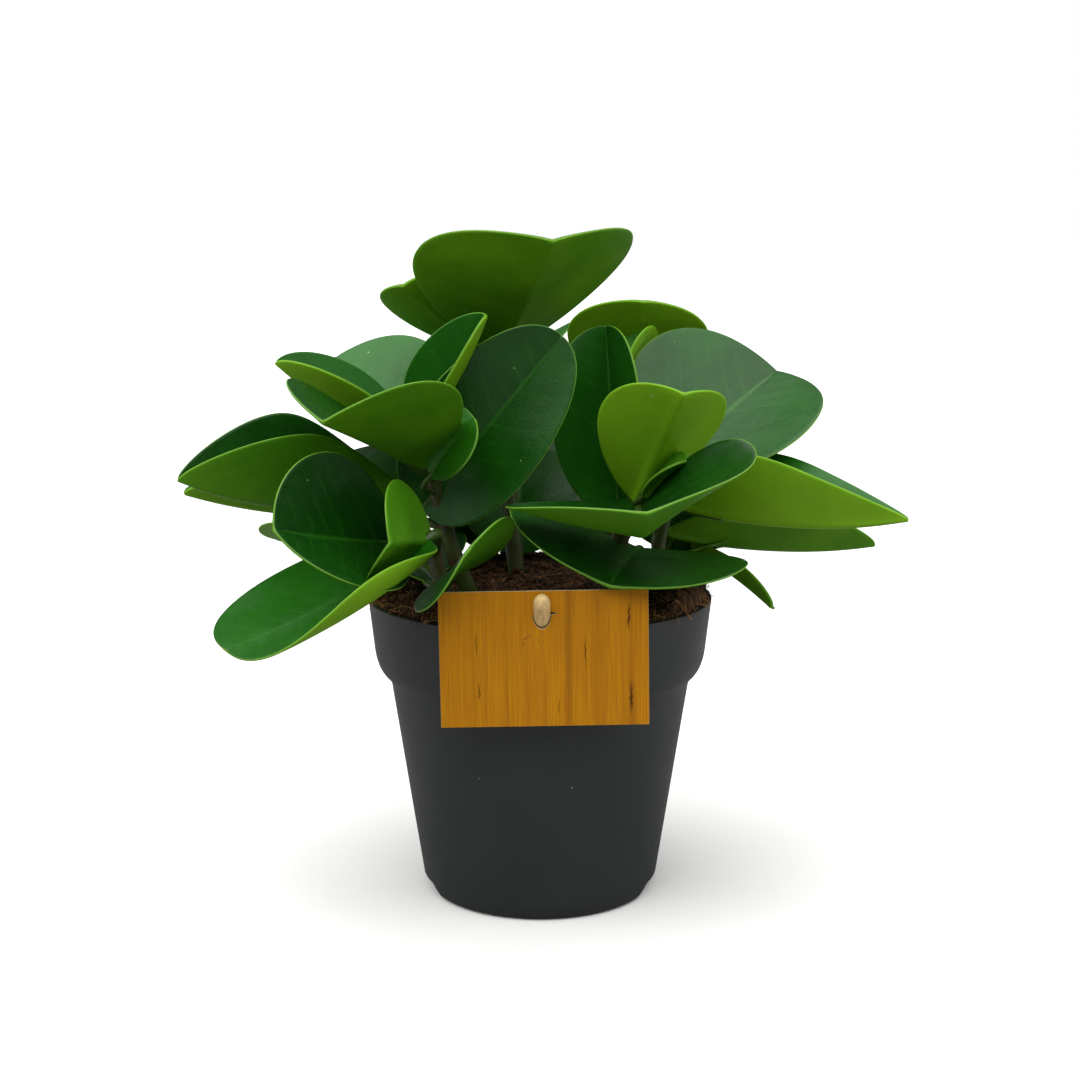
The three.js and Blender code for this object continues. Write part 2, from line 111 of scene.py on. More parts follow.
def new_material(name: str) -> tuple[bpy.types.Material, bpy.types.NodeTree]:
    """Starts a material without any nodes.

    Args:
        name: The material's name.

    Returns:
        The material and its node tree.
    """
    material = bpy.data.materials.new(name)
    material.use_nodes = True
    material.node_tree.nodes.clear()
    return material, material.node_tree


def finish_material(tree: bpy.types.NodeTree, inputs: dict) -> None:
    """Ends a material's nodes with its shader and its output.

    Args:
        tree: The material's node tree.
        inputs: A value, or an output socket to link, by the name of the shader's input.
    """
    shader = add_node(tree, "ShaderNodeBsdfPrincipled", {}, inputs)
    add_node(tree, "ShaderNodeOutputMaterial", {}, {"Surface": shader.outputs["BSDF"]})


def new_piece(name: str, bm: bmesh.types.BMesh, smooth: bool = True) -> bpy.types.Object:
    """Makes an object from a bmesh, with its place in its mesh.

    Args:
        name: The piece's name.
        bm: The shape, in metres; it is freed.
        smooth: Whether its faces are shaded smooth.

    Returns:
        The new object, linked to the scene.
    """
    mesh = bpy.data.meshes.new(name)
    for face in bm.faces:
        face.smooth = smooth
    bm.to_mesh(mesh)
    bm.free()
    piece = bpy.data.objects.new(name, mesh)
    bpy.context.scene.collection.objects.link(piece)
    return piece


def fit_piece(piece: bpy.types.Object, slot: str, *nodes: str) -> None:
    """Lets a piece ride on the part and stand for its CAD nodes, and logs its material slot.

    Args:
        piece: The dressed piece.
        slot: The material slot's name, which is only logged.
        *nodes: The CAD nodes that it stands for.
    """
    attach(piece, "root")
    if nodes:
        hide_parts(*nodes)
    logger.info("%s: %d faces, slot %s", piece.name, len(piece.data.polygons), slot)


def smooth_below(piece: bpy.types.Object, degrees: float) -> None:
    """Shades a piece smooth, apart from edges that turn by more than an angle.

    Args:
        piece: The piece.
        degrees: The largest angle that is still shaded smooth.
    """
    bm = bmesh.new()
    bm.from_mesh(piece.data)
    for edge in bm.edges:
        edge.smooth = not edge.is_manifold or edge.calc_face_angle(0) < math.radians(degrees)
    bm.to_mesh(piece.data)
    bm.free()


def cut_away(piece: bpy.types.Object, cutters: Sequence[bmesh.types.BMesh]) -> None:
    """Cuts shapes out of a piece, one after another, and keeps only the result.

    Args:
        piece: The piece.
        cutters: The shapes to cut out; they are freed.
    """
    for shape in cutters:
        cutter = new_piece(piece.name + "_cutter", shape)
        cut = piece.modifiers.new("cut", "BOOLEAN")
        cut.operation = "DIFFERENCE"
        cut.solver = "EXACT"
        cut.object = cutter
        bpy.context.view_layer.update()
        depsgraph = bpy.context.evaluated_depsgraph_get()
        made = bpy.data.meshes.new_from_object(piece.evaluated_get(depsgraph))
        piece.modifiers.remove(cut)
        before = piece.data
        piece.data = made
        bpy.data.meshes.remove(before)
        bpy.data.objects.remove(cutter)


def turned(profile: Sequence[tuple[float, float]], steps: int) -> bmesh.types.BMesh:
    """Spins a profile about +Z into a closed shape.

    Args:
        profile: Points of radius and height in millimetres, from the axis round to the axis.
        steps: The number of steps in the full turn.

    Returns:
        The shape, in metres, with its faces pointing out.
    """
    bm = bmesh.new()
    verts = [bm.verts.new((radius * MM, 0, z * MM)) for radius, z in profile]
    edges = [bm.edges.new(pair) for pair in zip(verts, verts[1:])]
    bmesh.ops.spin(
        bm, geom=verts + edges, cent=(0, 0, 0), axis=(0, 0, 1), angle=FULL_TURN,
        steps=steps, use_merge=True, use_duplicate=False,
    )
    bmesh.ops.remove_doubles(bm, verts=bm.verts, dist=0.001 * MM)
    bmesh.ops.recalc_face_normals(bm, faces=bm.faces)
    return bm


def round_rings(bm: bmesh.types.BMesh, rings: Iterable[tuple[float, float, float]]) -> None:
    """Rounds rings of edges on a turned shape.

    Args:
        bm: The turned shape.
        rings: Each ring's radius, height and rounding, in millimetres.
    """
    for radius, z, rounding in rings:
        ring = [
            edge
            for edge in bm.edges
            if all(
                abs(v.co.z - z * MM) < 0.01 * MM and abs(v.co.xy.length - radius * MM) < 0.01 * MM
                for v in edge.verts
            )
        ]
        bmesh.ops.bevel(
            bm, geom=ring, offset=rounding * MM, segments=4, profile=0.5, affect="EDGES",
            material=-1, clamp_overlap=True,
        )


class GrowthLine:
    """A smooth line through points, as stems and stalks grow, measured along its length."""

    SAMPLES = 120

    def __init__(self, points: Sequence[Vector]) -> None:
        """Samples a centripetal Catmull-Rom curve through the points.

        Args:
            points: The points that the line passes through.
        """
        ends = [points[0] * 2 - points[1], *points, points[-1] * 2 - points[-2]]
        spans = len(points) - 1
        self.places = [self._blend(ends, i / self.SAMPLES * spans) for i in range(self.SAMPLES + 1)]
        self.reached = [0.0]
        for before, after in zip(self.places, self.places[1:]):
            self.reached.append(self.reached[-1] + (after - before).length)

    @staticmethod
    def _blend(ends: Sequence[Vector], place: float) -> Vector:
        """The curve's point at a place counted in spans.

        Args:
            ends: The points, with one more beyond each end.
            place: From 0 to the number of spans.

        Returns:
            The point.
        """
        first = min(int(place), len(ends) - 4)
        x = place - first
        a, b, c, d = ends[first : first + 4]
        k0, k1, k2 = ((q - p).length ** 0.5 for p, q in ((a, b), (b, c), (c, d)))
        start = ((b - a) / k0 - (c - a) / (k0 + k1) + (c - b) / k1) * k1
        stop = ((c - b) / k1 - (d - b) / (k1 + k2) + (d - c) / k2) * k1
        bend = (c - b) * 3 - start * 2 - stop
        return b + start * x + bend * x**2 + ((b - c) * 2 + start + stop) * x**3

    @property
    def length(self) -> float:
        """The line's whole length."""
        return self.reached[-1]

    def at(self, share: float) -> Vector:
        """The point at a share of the length."""
        wanted = clamp(share) * self.length
        after = next((i for i, x in enumerate(self.reached) if x >= wanted), self.SAMPLES)
        after = max(after, 1)
        step = self.reached[after] - self.reached[after - 1]
        return self.places[after - 1].lerp(
            self.places[after], (wanted - self.reached[after - 1]) / step
        )

    def heading(self, share: float) -> Vector:
        """The direction of growth at a share of the length."""
        return (self.at(share + 0.01) - self.at(share - 0.01)).normalized()

    def at_height(self, z: float, lowest: float, highest: float) -> Vector:
        """The point between two shares of the length that is nearest to a height."""
        steps = [lowest + (highest - lowest) * i / 60 for i in range(61)]
        return min((self.at(share) for share in steps), key=lambda point: abs(point.z - z))


def grow_limb(
    bm: bmesh.types.BMesh,
    line: GrowthLine,
    radius_at: Callable[[float], float],
    sides: int,
    steps: int,
) -> list[tuple[bmesh.types.BMVert, float]]:
    """Adds a round limb: a cylinder with rings, bent along a line.

    Args:
        bm: The bmesh that gets it.
        line: The line, in millimetres.
        radius_at: The radius in millimetres for a share of the line's length.
        sides: The number of sides.
        steps: The number of rings along it, less one.

    Returns:
        Each new vertex with its share of the line's length.
    """
    rod = bmesh.ops.create_cone(
        bm, cap_ends=True, cap_tris=False, segments=sides, radius1=1, radius2=1, depth=1
    )
    long_edges = {
        edge
        for vert in rod["verts"]
        for edge in vert.link_edges
        if abs(edge.verts[0].co.z - edge.verts[1].co.z) > 0.5
    }
    rings = bmesh.ops.subdivide_edges(bm, edges=list(long_edges), cuts=steps - 1)["geom_inner"]
    rings = [part for part in rings if isinstance(part, bmesh.types.BMVert)]
    verts = {vert for part in rings for edge in part.link_edges for vert in edge.verts}
    side = line.heading(0).orthogonal().normalized()
    frames = []
    for i in range(steps + 1):
        heading = line.heading(i / steps)
        side = (side - heading * side.dot(heading)).normalized()
        frames.append((line.at(i / steps), side, heading.cross(side)))
    placed = []
    for vert in verts:
        share = vert.co.z + 0.5
        centre, across, beside = frames[round(share * steps)]
        radius = radius_at(share)
        vert.co = (centre + across * (vert.co.x * radius) + beside * (vert.co.y * radius)) * MM
        placed.append((vert, share))
    return placed


# ---------------------------------------------------------------- finishes


class Layer(Enum):
    """Numbers that a leaf or a stem carries on its vertices for its finish."""

    FACE = "face"  # 1 on a blade's upper face, 0 on its underside
    EDGE = "edge"  # 0 at the midrib, 1 at the margin
    VEIN = "vein"  # millimetres along the midrib to where the side vein starts
    TONE = "tone"  # the leaf's own shade, from 0 to 1
    YOUTH = "youth"  # 1 on a leaf that has just opened
    FLUSH = "flush"  # red flush of a stem round its nodes


@dataclass(frozen=True)
class WaxyLeafSkin:
    """Living peperomia leaf: a thick waxy cuticle over soft green tissue, so it has broad
    clear highlights with a fine pebble in them, and the light glows through thin lobes."""

    dark: str = "#0c3c05"
    fresh: str = "#1c600b"
    young: str = "#4a8a14"
    vein: str = "#357a1c"
    under_deep: str = "#427c08"
    under_pale: str = "#78ac18"
    # painted highlight: a lighter green on the band round the margin, where the thin edge catches the
    # light
    rim: str = "#699630"
    dust: str = "#aeb89a"
    patch_mm: float = 24.0
    cell_mm: float = 0.9  # drawn coarser than the real 0.1 mm cells, so that it shows
    dimple_mm: float = 4.0
    vein_break_mm: float = 9.0  # how long the stretches are along which a side vein shows
    dust_spacing_mm: float = 11.0

    def material(self) -> bpy.types.Material:
        """Builds the finish.

        Returns:
            The leaf material.
        """
        material, tree = new_material("waxy_leaf_cuticle")
        face, edge, vein, tone, youth = (
            add_node(tree, "ShaderNodeAttribute", {"attribute_name": layer.value}).outputs["Fac"]
            for layer in (Layer.FACE, Layer.EDGE, Layer.VEIN, Layer.TONE, Layer.YOUTH)
        )
        place = add_node(tree, "ShaderNodeTexCoord").outputs["Object"]
        patch = add_node(tree, "ShaderNodeTexNoise", {}, {
            "Vector": place, "Scale": per_metre(self.patch_mm), "Detail": 3.0, "Roughness": 0.55,
        }).outputs["Fac"]
        shade = add_node(
            tree, "ShaderNodeMath", {"operation": "ADD"}, {0: patch, 1: tone}
        ).outputs[0]
        shade = add_node(
            tree, "ShaderNodeMapRange", {}, {"Value": shade, "From Min": 0.55, "From Max": 1.45}
        ).outputs["Result"]

        line = add_node(tree, "ShaderNodeMath", {"operation": "PINGPONG"}, {
            0: vein, 1: Blade.VEIN_SPACING / 2,
        }).outputs[0]
        line = add_node(tree, "ShaderNodeMapRange", {"interpolation_type": "SMOOTHSTEP"}, {
            "Value": line, "From Min": 1.2, "From Max": 0.0, "To Max": 0.15,
        }).outputs["Result"]
        near_margin = add_node(
            tree, "ShaderNodeMapRange", {}, {"Value": edge, "From Min": 0.95, "From Max": 0.55}
        ).outputs["Result"]
        broken = add_node(tree, "ShaderNodeTexNoise", {}, {
            "Vector": place, "Scale": per_metre(self.vein_break_mm), "Detail": 1.0,
        }).outputs["Fac"]
        broken = add_node(
            tree, "ShaderNodeMapRange", {}, {"Value": broken, "From Min": 0.35, "From Max": 0.62}
        ).outputs["Result"]
        line = add_node(
            tree, "ShaderNodeMath", {"operation": "MULTIPLY"}, {0: line, 1: near_margin}
        ).outputs[0]
        line = add_node(
            tree, "ShaderNodeMath", {"operation": "MULTIPLY"}, {0: line, 1: broken}
        ).outputs[0]
        midrib = add_node(tree, "ShaderNodeMapRange", {"interpolation_type": "SMOOTHSTEP"}, {
            "Value": edge, "From Min": 0.045, "From Max": 0.0, "To Max": 0.35,
        }).outputs["Result"]
        line = add_node(
            tree, "ShaderNodeMath", {"operation": "MAXIMUM"}, {0: line, 1: midrib}
        ).outputs[0]

        upper = add_node(tree, "ShaderNodeMix", {"data_type": "RGBA"}, {
            0: shade, 6: linear(self.dark), 7: linear(self.fresh),
        }).outputs[2]
        upper = add_node(
            tree, "ShaderNodeMix", {"data_type": "RGBA"}, {0: youth, 6: upper, 7: linear(self.young)}
        ).outputs[2]
        upper = add_node(
            tree, "ShaderNodeMix", {"data_type": "RGBA"}, {0: line, 6: upper, 7: linear(self.vein)}
        ).outputs[2]
        under = add_node(tree, "ShaderNodeMix", {"data_type": "RGBA"}, {
            0: shade, 6: linear(self.under_deep), 7: linear(self.under_pale),
        }).outputs[2]
        # painted highlight: the band round the margin takes the lighter rim colour, as if its edge
        # caught the light
        rim_highlight_mask = add_node(
            tree, "ShaderNodeMapRange", {}, {"Value": face, "From Min": 0.1, "From Max": 0.4}
        ).outputs["Result"]
        on_top = add_node(
            tree, "ShaderNodeMapRange", {}, {"Value": face, "From Min": 0.75, "From Max": 1.0}
        ).outputs["Result"]
        colour = add_node(
            tree, "ShaderNodeMix", {"data_type": "RGBA"}, {0: rim_highlight_mask, 6: under, 7: linear(self.rim)}
        ).outputs[2]
        colour = add_node(
            tree, "ShaderNodeMix", {"data_type": "RGBA"}, {0: on_top, 6: colour, 7: upper}
        ).outputs[2]
        specks = add_node(tree, "ShaderNodeTexVoronoi", {}, {
            "Vector": place, "Scale": per_metre(self.dust_spacing_mm),
        })
        speck = add_node(tree, "ShaderNodeMapRange", {}, {
            "Value": specks.outputs["Distance"], "From Min": 0.045, "From Max": 0.02, "To Max": 0.6,
        }).outputs["Result"]
        colour = add_node(
            tree, "ShaderNodeMix", {"data_type": "RGBA"}, {0: speck, 6: colour, 7: linear(self.dust)}
        ).outputs[2]

        cells = add_node(tree, "ShaderNodeTexNoise", {}, {
            "Vector": place, "Scale": per_metre(self.cell_mm), "Detail": 2.0, "Roughness": 0.6,
        }).outputs["Fac"]
        dimples = add_node(tree, "ShaderNodeTexNoise", {}, {
            "Vector": place, "Scale": per_metre(self.dimple_mm), "Detail": 2.0,
        }).outputs["Fac"]
        sheen = add_node(tree, "ShaderNodeMapRange", {}, {
            "Value": dimples, "From Min": 0.3, "From Max": 0.7, "To Min": 0.30, "To Max": 0.42,
        }).outputs["Result"]
        sheen = add_node(
            tree, "ShaderNodeMix", {"data_type": "FLOAT"}, {0: on_top, 2: 0.52, 3: sheen}
        ).outputs[0]
        bump = add_node(tree, "ShaderNodeBump", {}, {
            "Height": cells, "Strength": 0.6, "Distance": 0.14 * MM,
        }).outputs["Normal"]
        bump = add_node(tree, "ShaderNodeBump", {}, {
            "Height": dimples, "Strength": 0.3, "Distance": 0.3 * MM, "Normal": bump,
        }).outputs["Normal"]
        gloss = add_node(
            tree, "ShaderNodeMix", {"data_type": "FLOAT"}, {0: on_top, 2: 0.2, 3: 0.38}
        ).outputs[0]
        finish_material(tree, {
            "Base Color": colour, "Roughness": sheen, "Specular IOR Level": gloss, "Normal": bump,
            "IOR": 1.45, "Subsurface Weight": 0.12, "Subsurface Radius": (0.6, 1.0, 0.1),
            "Subsurface Scale": 1.6 * MM,
        })
        return material


@dataclass(frozen=True)
class FleshyStemSkin:
    """Fleshy green stem with a thin waxy skin, flushed red-brown round its nodes: smooth,
    half glossy and faintly streaked along its length."""

    green: str = "#2e4812"
    pale: str = "#3f5e1e"
    red: str = "#3c2014"
    streak_mm: float = 3.0

    def material(self) -> bpy.types.Material:
        """Builds the finish.

        Returns:
            The stem material.
        """
        material, tree = new_material("fleshy_stem_skin")
        flush = add_node(
            tree, "ShaderNodeAttribute", {"attribute_name": Layer.FLUSH.value}
        ).outputs["Fac"]
        place = add_node(tree, "ShaderNodeTexCoord").outputs["Object"]
        streaks = add_node(tree, "ShaderNodeTexNoise", {}, {
            "Vector": place, "Scale": per_metre(self.streak_mm), "Detail": 3.0,
        }).outputs["Fac"]
        green = add_node(tree, "ShaderNodeMix", {"data_type": "RGBA"}, {
            0: streaks, 6: linear(self.green), 7: linear(self.pale),
        }).outputs[2]
        mottle = add_node(tree, "ShaderNodeMapRange", {}, {
            "Value": streaks, "From Min": 0.35, "From Max": 0.7, "To Min": 0.35, "To Max": 1.0,
        }).outputs["Result"]
        red = add_node(
            tree, "ShaderNodeMath", {"operation": "MULTIPLY"}, {0: flush, 1: mottle}
        ).outputs[0]
        colour = add_node(
            tree, "ShaderNodeMix", {"data_type": "RGBA"}, {0: red, 6: green, 7: linear(self.red)}
        ).outputs[2]
        bump = add_node(tree, "ShaderNodeBump", {}, {
            "Height": streaks, "Strength": 0.3, "Distance": 0.2 * MM,
        }).outputs["Normal"]
        finish_material(tree, {
            "Base Color": colour, "Normal": bump, "Roughness": 0.42, "IOR": 1.45,
            "Subsurface Weight": 0.2, "Subsurface Radius": (0.8, 1.0, 0.3),
            "Subsurface Scale": 2.0 * MM,
        })
        return material


@dataclass(frozen=True)
class MouldedPolypropylene:
    """Recycled polypropylene, injection moulded in a satin tool: dark grey with a hint of
    blue, faint upright flow lines, a soft satin gloss, fine scuffs and a little dust."""

    grey: str = "#1f2224"
    worn: str = "#2f3335"
    dust: str = "#8a8e90"
    flow_mm: float = 2.2
    cloud_mm: float = 30.0
    grain_mm: float = 0.7  # drawn coarser than the real 0.05 mm grain, so that it shows
    dust_spacing_mm: float = 13.0

    def material(self) -> bpy.types.Material:
        """Builds the finish.

        Returns:
            The pot material.
        """
        material, tree = new_material("moulded_polypropylene")
        place = add_node(tree, "ShaderNodeTexCoord").outputs["Object"]
        stretched = add_node(
            tree, "ShaderNodeMapping", {}, {"Vector": place, "Scale": (1.0, 1.0, 0.03)}
        ).outputs["Vector"]
        flow = add_node(tree, "ShaderNodeTexNoise", {}, {
            "Vector": stretched, "Scale": per_metre(self.flow_mm), "Detail": 2.0,
        }).outputs["Fac"]
        cloud = add_node(tree, "ShaderNodeTexNoise", {}, {
            "Vector": place, "Scale": per_metre(self.cloud_mm), "Detail": 4.0, "Roughness": 0.6,
        }).outputs["Fac"]
        scuffed = add_node(tree, "ShaderNodeMapRange", {}, {
            "Value": cloud, "From Min": 0.45, "From Max": 0.8, "To Max": 0.28,
        }).outputs["Result"]
        colour = add_node(tree, "ShaderNodeMix", {"data_type": "RGBA"}, {
            0: scuffed, 6: linear(self.grey), 7: linear(self.worn),
        }).outputs[2]
        specks = add_node(tree, "ShaderNodeTexVoronoi", {}, {
            "Vector": place, "Scale": per_metre(self.dust_spacing_mm),
        }).outputs["Distance"]
        speck = add_node(tree, "ShaderNodeMapRange", {}, {
            "Value": specks, "From Min": 0.03, "From Max": 0.015, "To Max": 0.7,
        }).outputs["Result"]
        colour = add_node(
            tree, "ShaderNodeMix", {"data_type": "RGBA"}, {0: speck, 6: colour, 7: linear(self.dust)}
        ).outputs[2]
        grain = add_node(tree, "ShaderNodeTexNoise", {}, {
            "Vector": place, "Scale": per_metre(self.grain_mm), "Detail": 1.0,
        }).outputs["Fac"]
        satin = add_node(tree, "ShaderNodeMapRange", {}, {
            "Value": cloud, "From Min": 0.3, "From Max": 0.7, "To Min": 0.40, "To Max": 0.52,
        }).outputs["Result"]
        bump = add_node(
            tree, "ShaderNodeBump", {}, {"Height": grain, "Strength": 0.15, "Distance": 0.05 * MM}
        ).outputs["Normal"]
        bump = add_node(tree, "ShaderNodeBump", {}, {
            "Height": flow, "Strength": 0.12, "Distance": 0.15 * MM, "Normal": bump,
        }).outputs["Normal"]
        finish_material(tree, {
            "Base Color": colour, "Roughness": satin, "Normal": bump, "IOR": 1.49,
        })
        return material


@dataclass(frozen=True)
class MoistPeat:
    """Potting mix of moist peat, crumbled by hand: dark brown, matt and rough, with lighter
    dry crumbs."""

    wet: str = "#140b06"
    dry: str = "#6a4424"
    clod_mm: float = 5.0
    grit_mm: float = 0.9

    def material(self) -> bpy.types.Material:
        """Builds the finish.

        Returns:
            The soil material.
        """
        material, tree = new_material("moist_peat")
        place = add_node(tree, "ShaderNodeTexCoord").outputs["Object"]
        clods = add_node(tree, "ShaderNodeTexNoise", {}, {
            "Vector": place, "Scale": per_metre(self.clod_mm), "Detail": 4.0, "Roughness": 0.7,
        }).outputs["Fac"]
        grit = add_node(tree, "ShaderNodeTexNoise", {}, {
            "Vector": place, "Scale": per_metre(self.grit_mm), "Detail": 3.0, "Roughness": 0.7,
        }).outputs["Fac"]
        mixed = add_node(
            tree, "ShaderNodeMath", {"operation": "MULTIPLY"}, {0: clods, 1: grit}
        ).outputs[0]
        dryness = add_node(
            tree, "ShaderNodeMapRange", {}, {"Value": mixed, "From Min": 0.18, "From Max": 0.42}
        ).outputs["Result"]
        colour = add_node(tree, "ShaderNodeMix", {"data_type": "RGBA"}, {
            0: dryness, 6: linear(self.wet), 7: linear(self.dry),
        }).outputs[2]
        bump = add_node(
            tree, "ShaderNodeBump", {}, {"Height": grit, "Strength": 0.9, "Distance": 0.6 * MM}
        ).outputs["Normal"]
        finish_material(tree, {"Base Color": colour, "Normal": bump, "Roughness": 0.93, "IOR": 1.4})
        return material


@dataclass(frozen=True)
class CoirFibre:
    """Coconut husk fibre, teased apart: thin springy strands from straw to red-brown."""

    straw: str = "#b8834a"
    brown: str = "#3e2412"
    strand_mm: float = 6.0

    def material(self) -> bpy.types.Material:
        """Builds the finish.

        Returns:
            The fibre material.
        """
        material, tree = new_material("coir_fibre")
        place = add_node(tree, "ShaderNodeTexCoord").outputs["Object"]
        strands = add_node(tree, "ShaderNodeTexNoise", {}, {
            "Vector": place, "Scale": per_metre(self.strand_mm), "Detail": 3.0,
        }).outputs["Fac"]
        share = add_node(
            tree, "ShaderNodeMapRange", {}, {"Value": strands, "From Min": 0.4, "From Max": 0.65}
        ).outputs["Result"]
        colour = add_node(tree, "ShaderNodeMix", {"data_type": "RGBA"}, {
            0: share, 6: linear(self.brown), 7: linear(self.straw),
        }).outputs[2]
        finish_material(tree, {"Base Color": colour, "Roughness": 0.75, "IOR": 1.5})
        return material


@dataclass(frozen=True)
class WoodGrainPrint:
    """Stiff card, offset printed with golden-brown boards and thinly varnished: fine upright
    grain, soft broad bands and a few dark cracks, with a weak even gloss."""

    light: str = "#c4860c"
    brown: str = "#a4660c"
    band: str = "#8a520c"
    crack: str = "#241204"
    grain_mm: float = 0.45
    band_mm: float = 5.0
    jag_mm: float = 1.3  # how far the edges of the cracks wander
    jags_per_mm: float = 0.9
    # Each crack's middle across and up from the card's middle, and its half width and half height.
    cracks: tuple[tuple[float, float, float, float], ...] = (
        (27.0, 13.5, 0.55, 5.5),
        (27.6, -13.0, 0.7, 6.5),
        (13.2, 2.0, 0.3, 6.0),
        (-21.5, 5.0, 0.25, 5.0),
        (-20.8, -10.5, 0.3, 3.5),
        (4.5, -16.0, 0.2, 3.0),
    )

    def material(self, middle: Vector, roll: float) -> bpy.types.Material:
        """Builds the finish.

        Args:
            middle: The middle of the card, in metres.
            roll: How far the card hangs turned, in degrees.

        Returns:
            The printed front's material.
        """
        material, tree = new_material("wood_grain_print_on_card")
        place = add_node(tree, "ShaderNodeTexCoord").outputs["Object"]
        on_card = add_node(tree, "ShaderNodeMapping", {"vector_type": "TEXTURE"}, {
            "Vector": place,
            "Location": tuple(middle),
            "Rotation": (0.0, math.radians(-roll), 0.0),
            "Scale": (MM, MM, MM),
        }).outputs["Vector"]
        along_grain = add_node(
            tree, "ShaderNodeMapping", {}, {"Vector": on_card, "Scale": (1.0, 1.0, 0.02)}
        ).outputs["Vector"]
        grain = add_node(tree, "ShaderNodeTexNoise", {}, {
            "Vector": along_grain, "Scale": 1 / self.grain_mm, "Detail": 4.0, "Roughness": 0.65,
        }).outputs["Fac"]
        bands = add_node(tree, "ShaderNodeTexNoise", {}, {
            "Vector": along_grain, "Scale": 1 / self.band_mm, "Detail": 3.0, "Distortion": 0.4,
        }).outputs["Fac"]
        grain = add_node(
            tree, "ShaderNodeMapRange", {}, {"Value": grain, "From Min": 0.3, "From Max": 0.72}
        ).outputs["Result"]
        banded = add_node(tree, "ShaderNodeMapRange", {}, {
            "Value": bands, "From Min": 0.5, "From Max": 0.75, "To Max": 0.65,
        }).outputs["Result"]
        colour = add_node(tree, "ShaderNodeMix", {"data_type": "RGBA"}, {
            0: grain, 6: linear(self.brown), 7: linear(self.light),
        }).outputs[2]
        colour = add_node(
            tree, "ShaderNodeMix", {"data_type": "RGBA"}, {0: banded, 6: colour, 7: linear(self.band)}
        ).outputs[2]
        ragged = add_node(tree, "ShaderNodeTexNoise", {}, {
            "Vector": on_card, "Scale": self.jags_per_mm, "Detail": 3.0,
        }).outputs["Color"]
        ragged = add_node(tree, "ShaderNodeVectorMath", {"operation": "MULTIPLY_ADD"}, {
            0: ragged, 1: (self.jag_mm, 0.0, 0.0), 2: on_card,
        }).outputs["Vector"]
        for x, z, half_width, half_height in self.cracks:
            reach = add_node(tree, "ShaderNodeMapping", {"vector_type": "TEXTURE"}, {
                "Vector": ragged,
                "Location": (x + self.jag_mm / 2, 0.0, z),
                "Scale": (half_width, 100.0, half_height),
            }).outputs["Vector"]
            reach = add_node(
                tree, "ShaderNodeVectorMath", {"operation": "LENGTH"}, {0: reach}
            ).outputs["Value"]
            share = add_node(tree, "ShaderNodeMapRange", {}, {
                "Value": reach, "From Min": 1.0, "From Max": 0.3, "To Max": 0.85,
            }).outputs["Result"]
            colour = add_node(tree, "ShaderNodeMix", {"data_type": "RGBA"}, {
                0: share, 6: colour, 7: linear(self.crack),
            }).outputs[2]
        bump = add_node(
            tree, "ShaderNodeBump", {}, {"Height": grain, "Strength": 0.1, "Distance": 0.03 * MM}
        ).outputs["Normal"]
        finish_material(tree, {
            "Base Color": colour, "Normal": bump, "Roughness": 0.55, "IOR": 1.5,
            "Specular IOR Level": 0.12,
        })
        return material


@dataclass(frozen=True)
class CutCardboard:
    """The card's unprinted back and cut edges: pale pulp with tiny flecks, and quite matt."""

    pulp: str = "#d8c9a8"
    fleck: str = "#b09a72"
    fleck_mm: float = 0.8

    def material(self) -> bpy.types.Material:
        """Builds the finish.

        Returns:
            The plain card's material.
        """
        material, tree = new_material("cut_cardboard")
        place = add_node(tree, "ShaderNodeTexCoord").outputs["Object"]
        pulp = add_node(tree, "ShaderNodeTexNoise", {}, {
            "Vector": place, "Scale": per_metre(self.fleck_mm), "Detail": 3.0,
        }).outputs["Fac"]
        share = add_node(tree, "ShaderNodeMapRange", {}, {
            "Value": pulp, "From Min": 0.55, "From Max": 0.75, "To Max": 0.6,
        }).outputs["Result"]
        colour = add_node(tree, "ShaderNodeMix", {"data_type": "RGBA"}, {
            0: share, 6: linear(self.pulp), 7: linear(self.fleck),
        }).outputs[2]
        bump = add_node(
            tree, "ShaderNodeBump", {}, {"Height": pulp, "Strength": 0.2, "Distance": 0.05 * MM}
        ).outputs["Normal"]
        finish_material(tree, {
            "Base Color": colour, "Normal": bump, "Roughness": 0.85, "IOR": 1.45,
        })
        return material


@dataclass(frozen=True)
class TurnedSoftwood:
    """Birch or pine dowel, turned and left bare: cream, with fine grain along the stick and a
    little dirt."""

    cream: str = "#e8c88a"
    grain: str = "#a9844c"
    grain_mm: float = 0.6

    def material(self, slope: float) -> bpy.types.Material:
        """Builds the finish.

        Args:
            slope: The stick's slope from upright, in degrees.

        Returns:
            The stick's material.
        """
        material, tree = new_material("turned_softwood")
        place = add_node(tree, "ShaderNodeTexCoord").outputs["Object"]
        along_stick = add_node(tree, "ShaderNodeMapping", {"vector_type": "TEXTURE"}, {
            "Vector": place, "Rotation": (math.radians(slope), 0.0, 0.0), "Scale": (1.0, 1.0, 12.0),
        }).outputs["Vector"]
        grain = add_node(tree, "ShaderNodeTexNoise", {}, {
            "Vector": along_stick, "Scale": per_metre(self.grain_mm), "Detail": 3.0,
        }).outputs["Fac"]
        share = add_node(tree, "ShaderNodeMapRange", {}, {
            "Value": grain, "From Min": 0.45, "From Max": 0.75, "To Max": 0.8,
        }).outputs["Result"]
        colour = add_node(tree, "ShaderNodeMix", {"data_type": "RGBA"}, {
            0: share, 6: linear(self.cream), 7: linear(self.grain),
        }).outputs[2]
        bump = add_node(
            tree, "ShaderNodeBump", {}, {"Height": grain, "Strength": 0.4, "Distance": 0.1 * MM}
        ).outputs["Normal"]
        finish_material(tree, {"Base Color": colour, "Normal": bump, "Roughness": 0.7, "IOR": 1.5})
        return material


# ---------------------------------------------------------------- the leaves


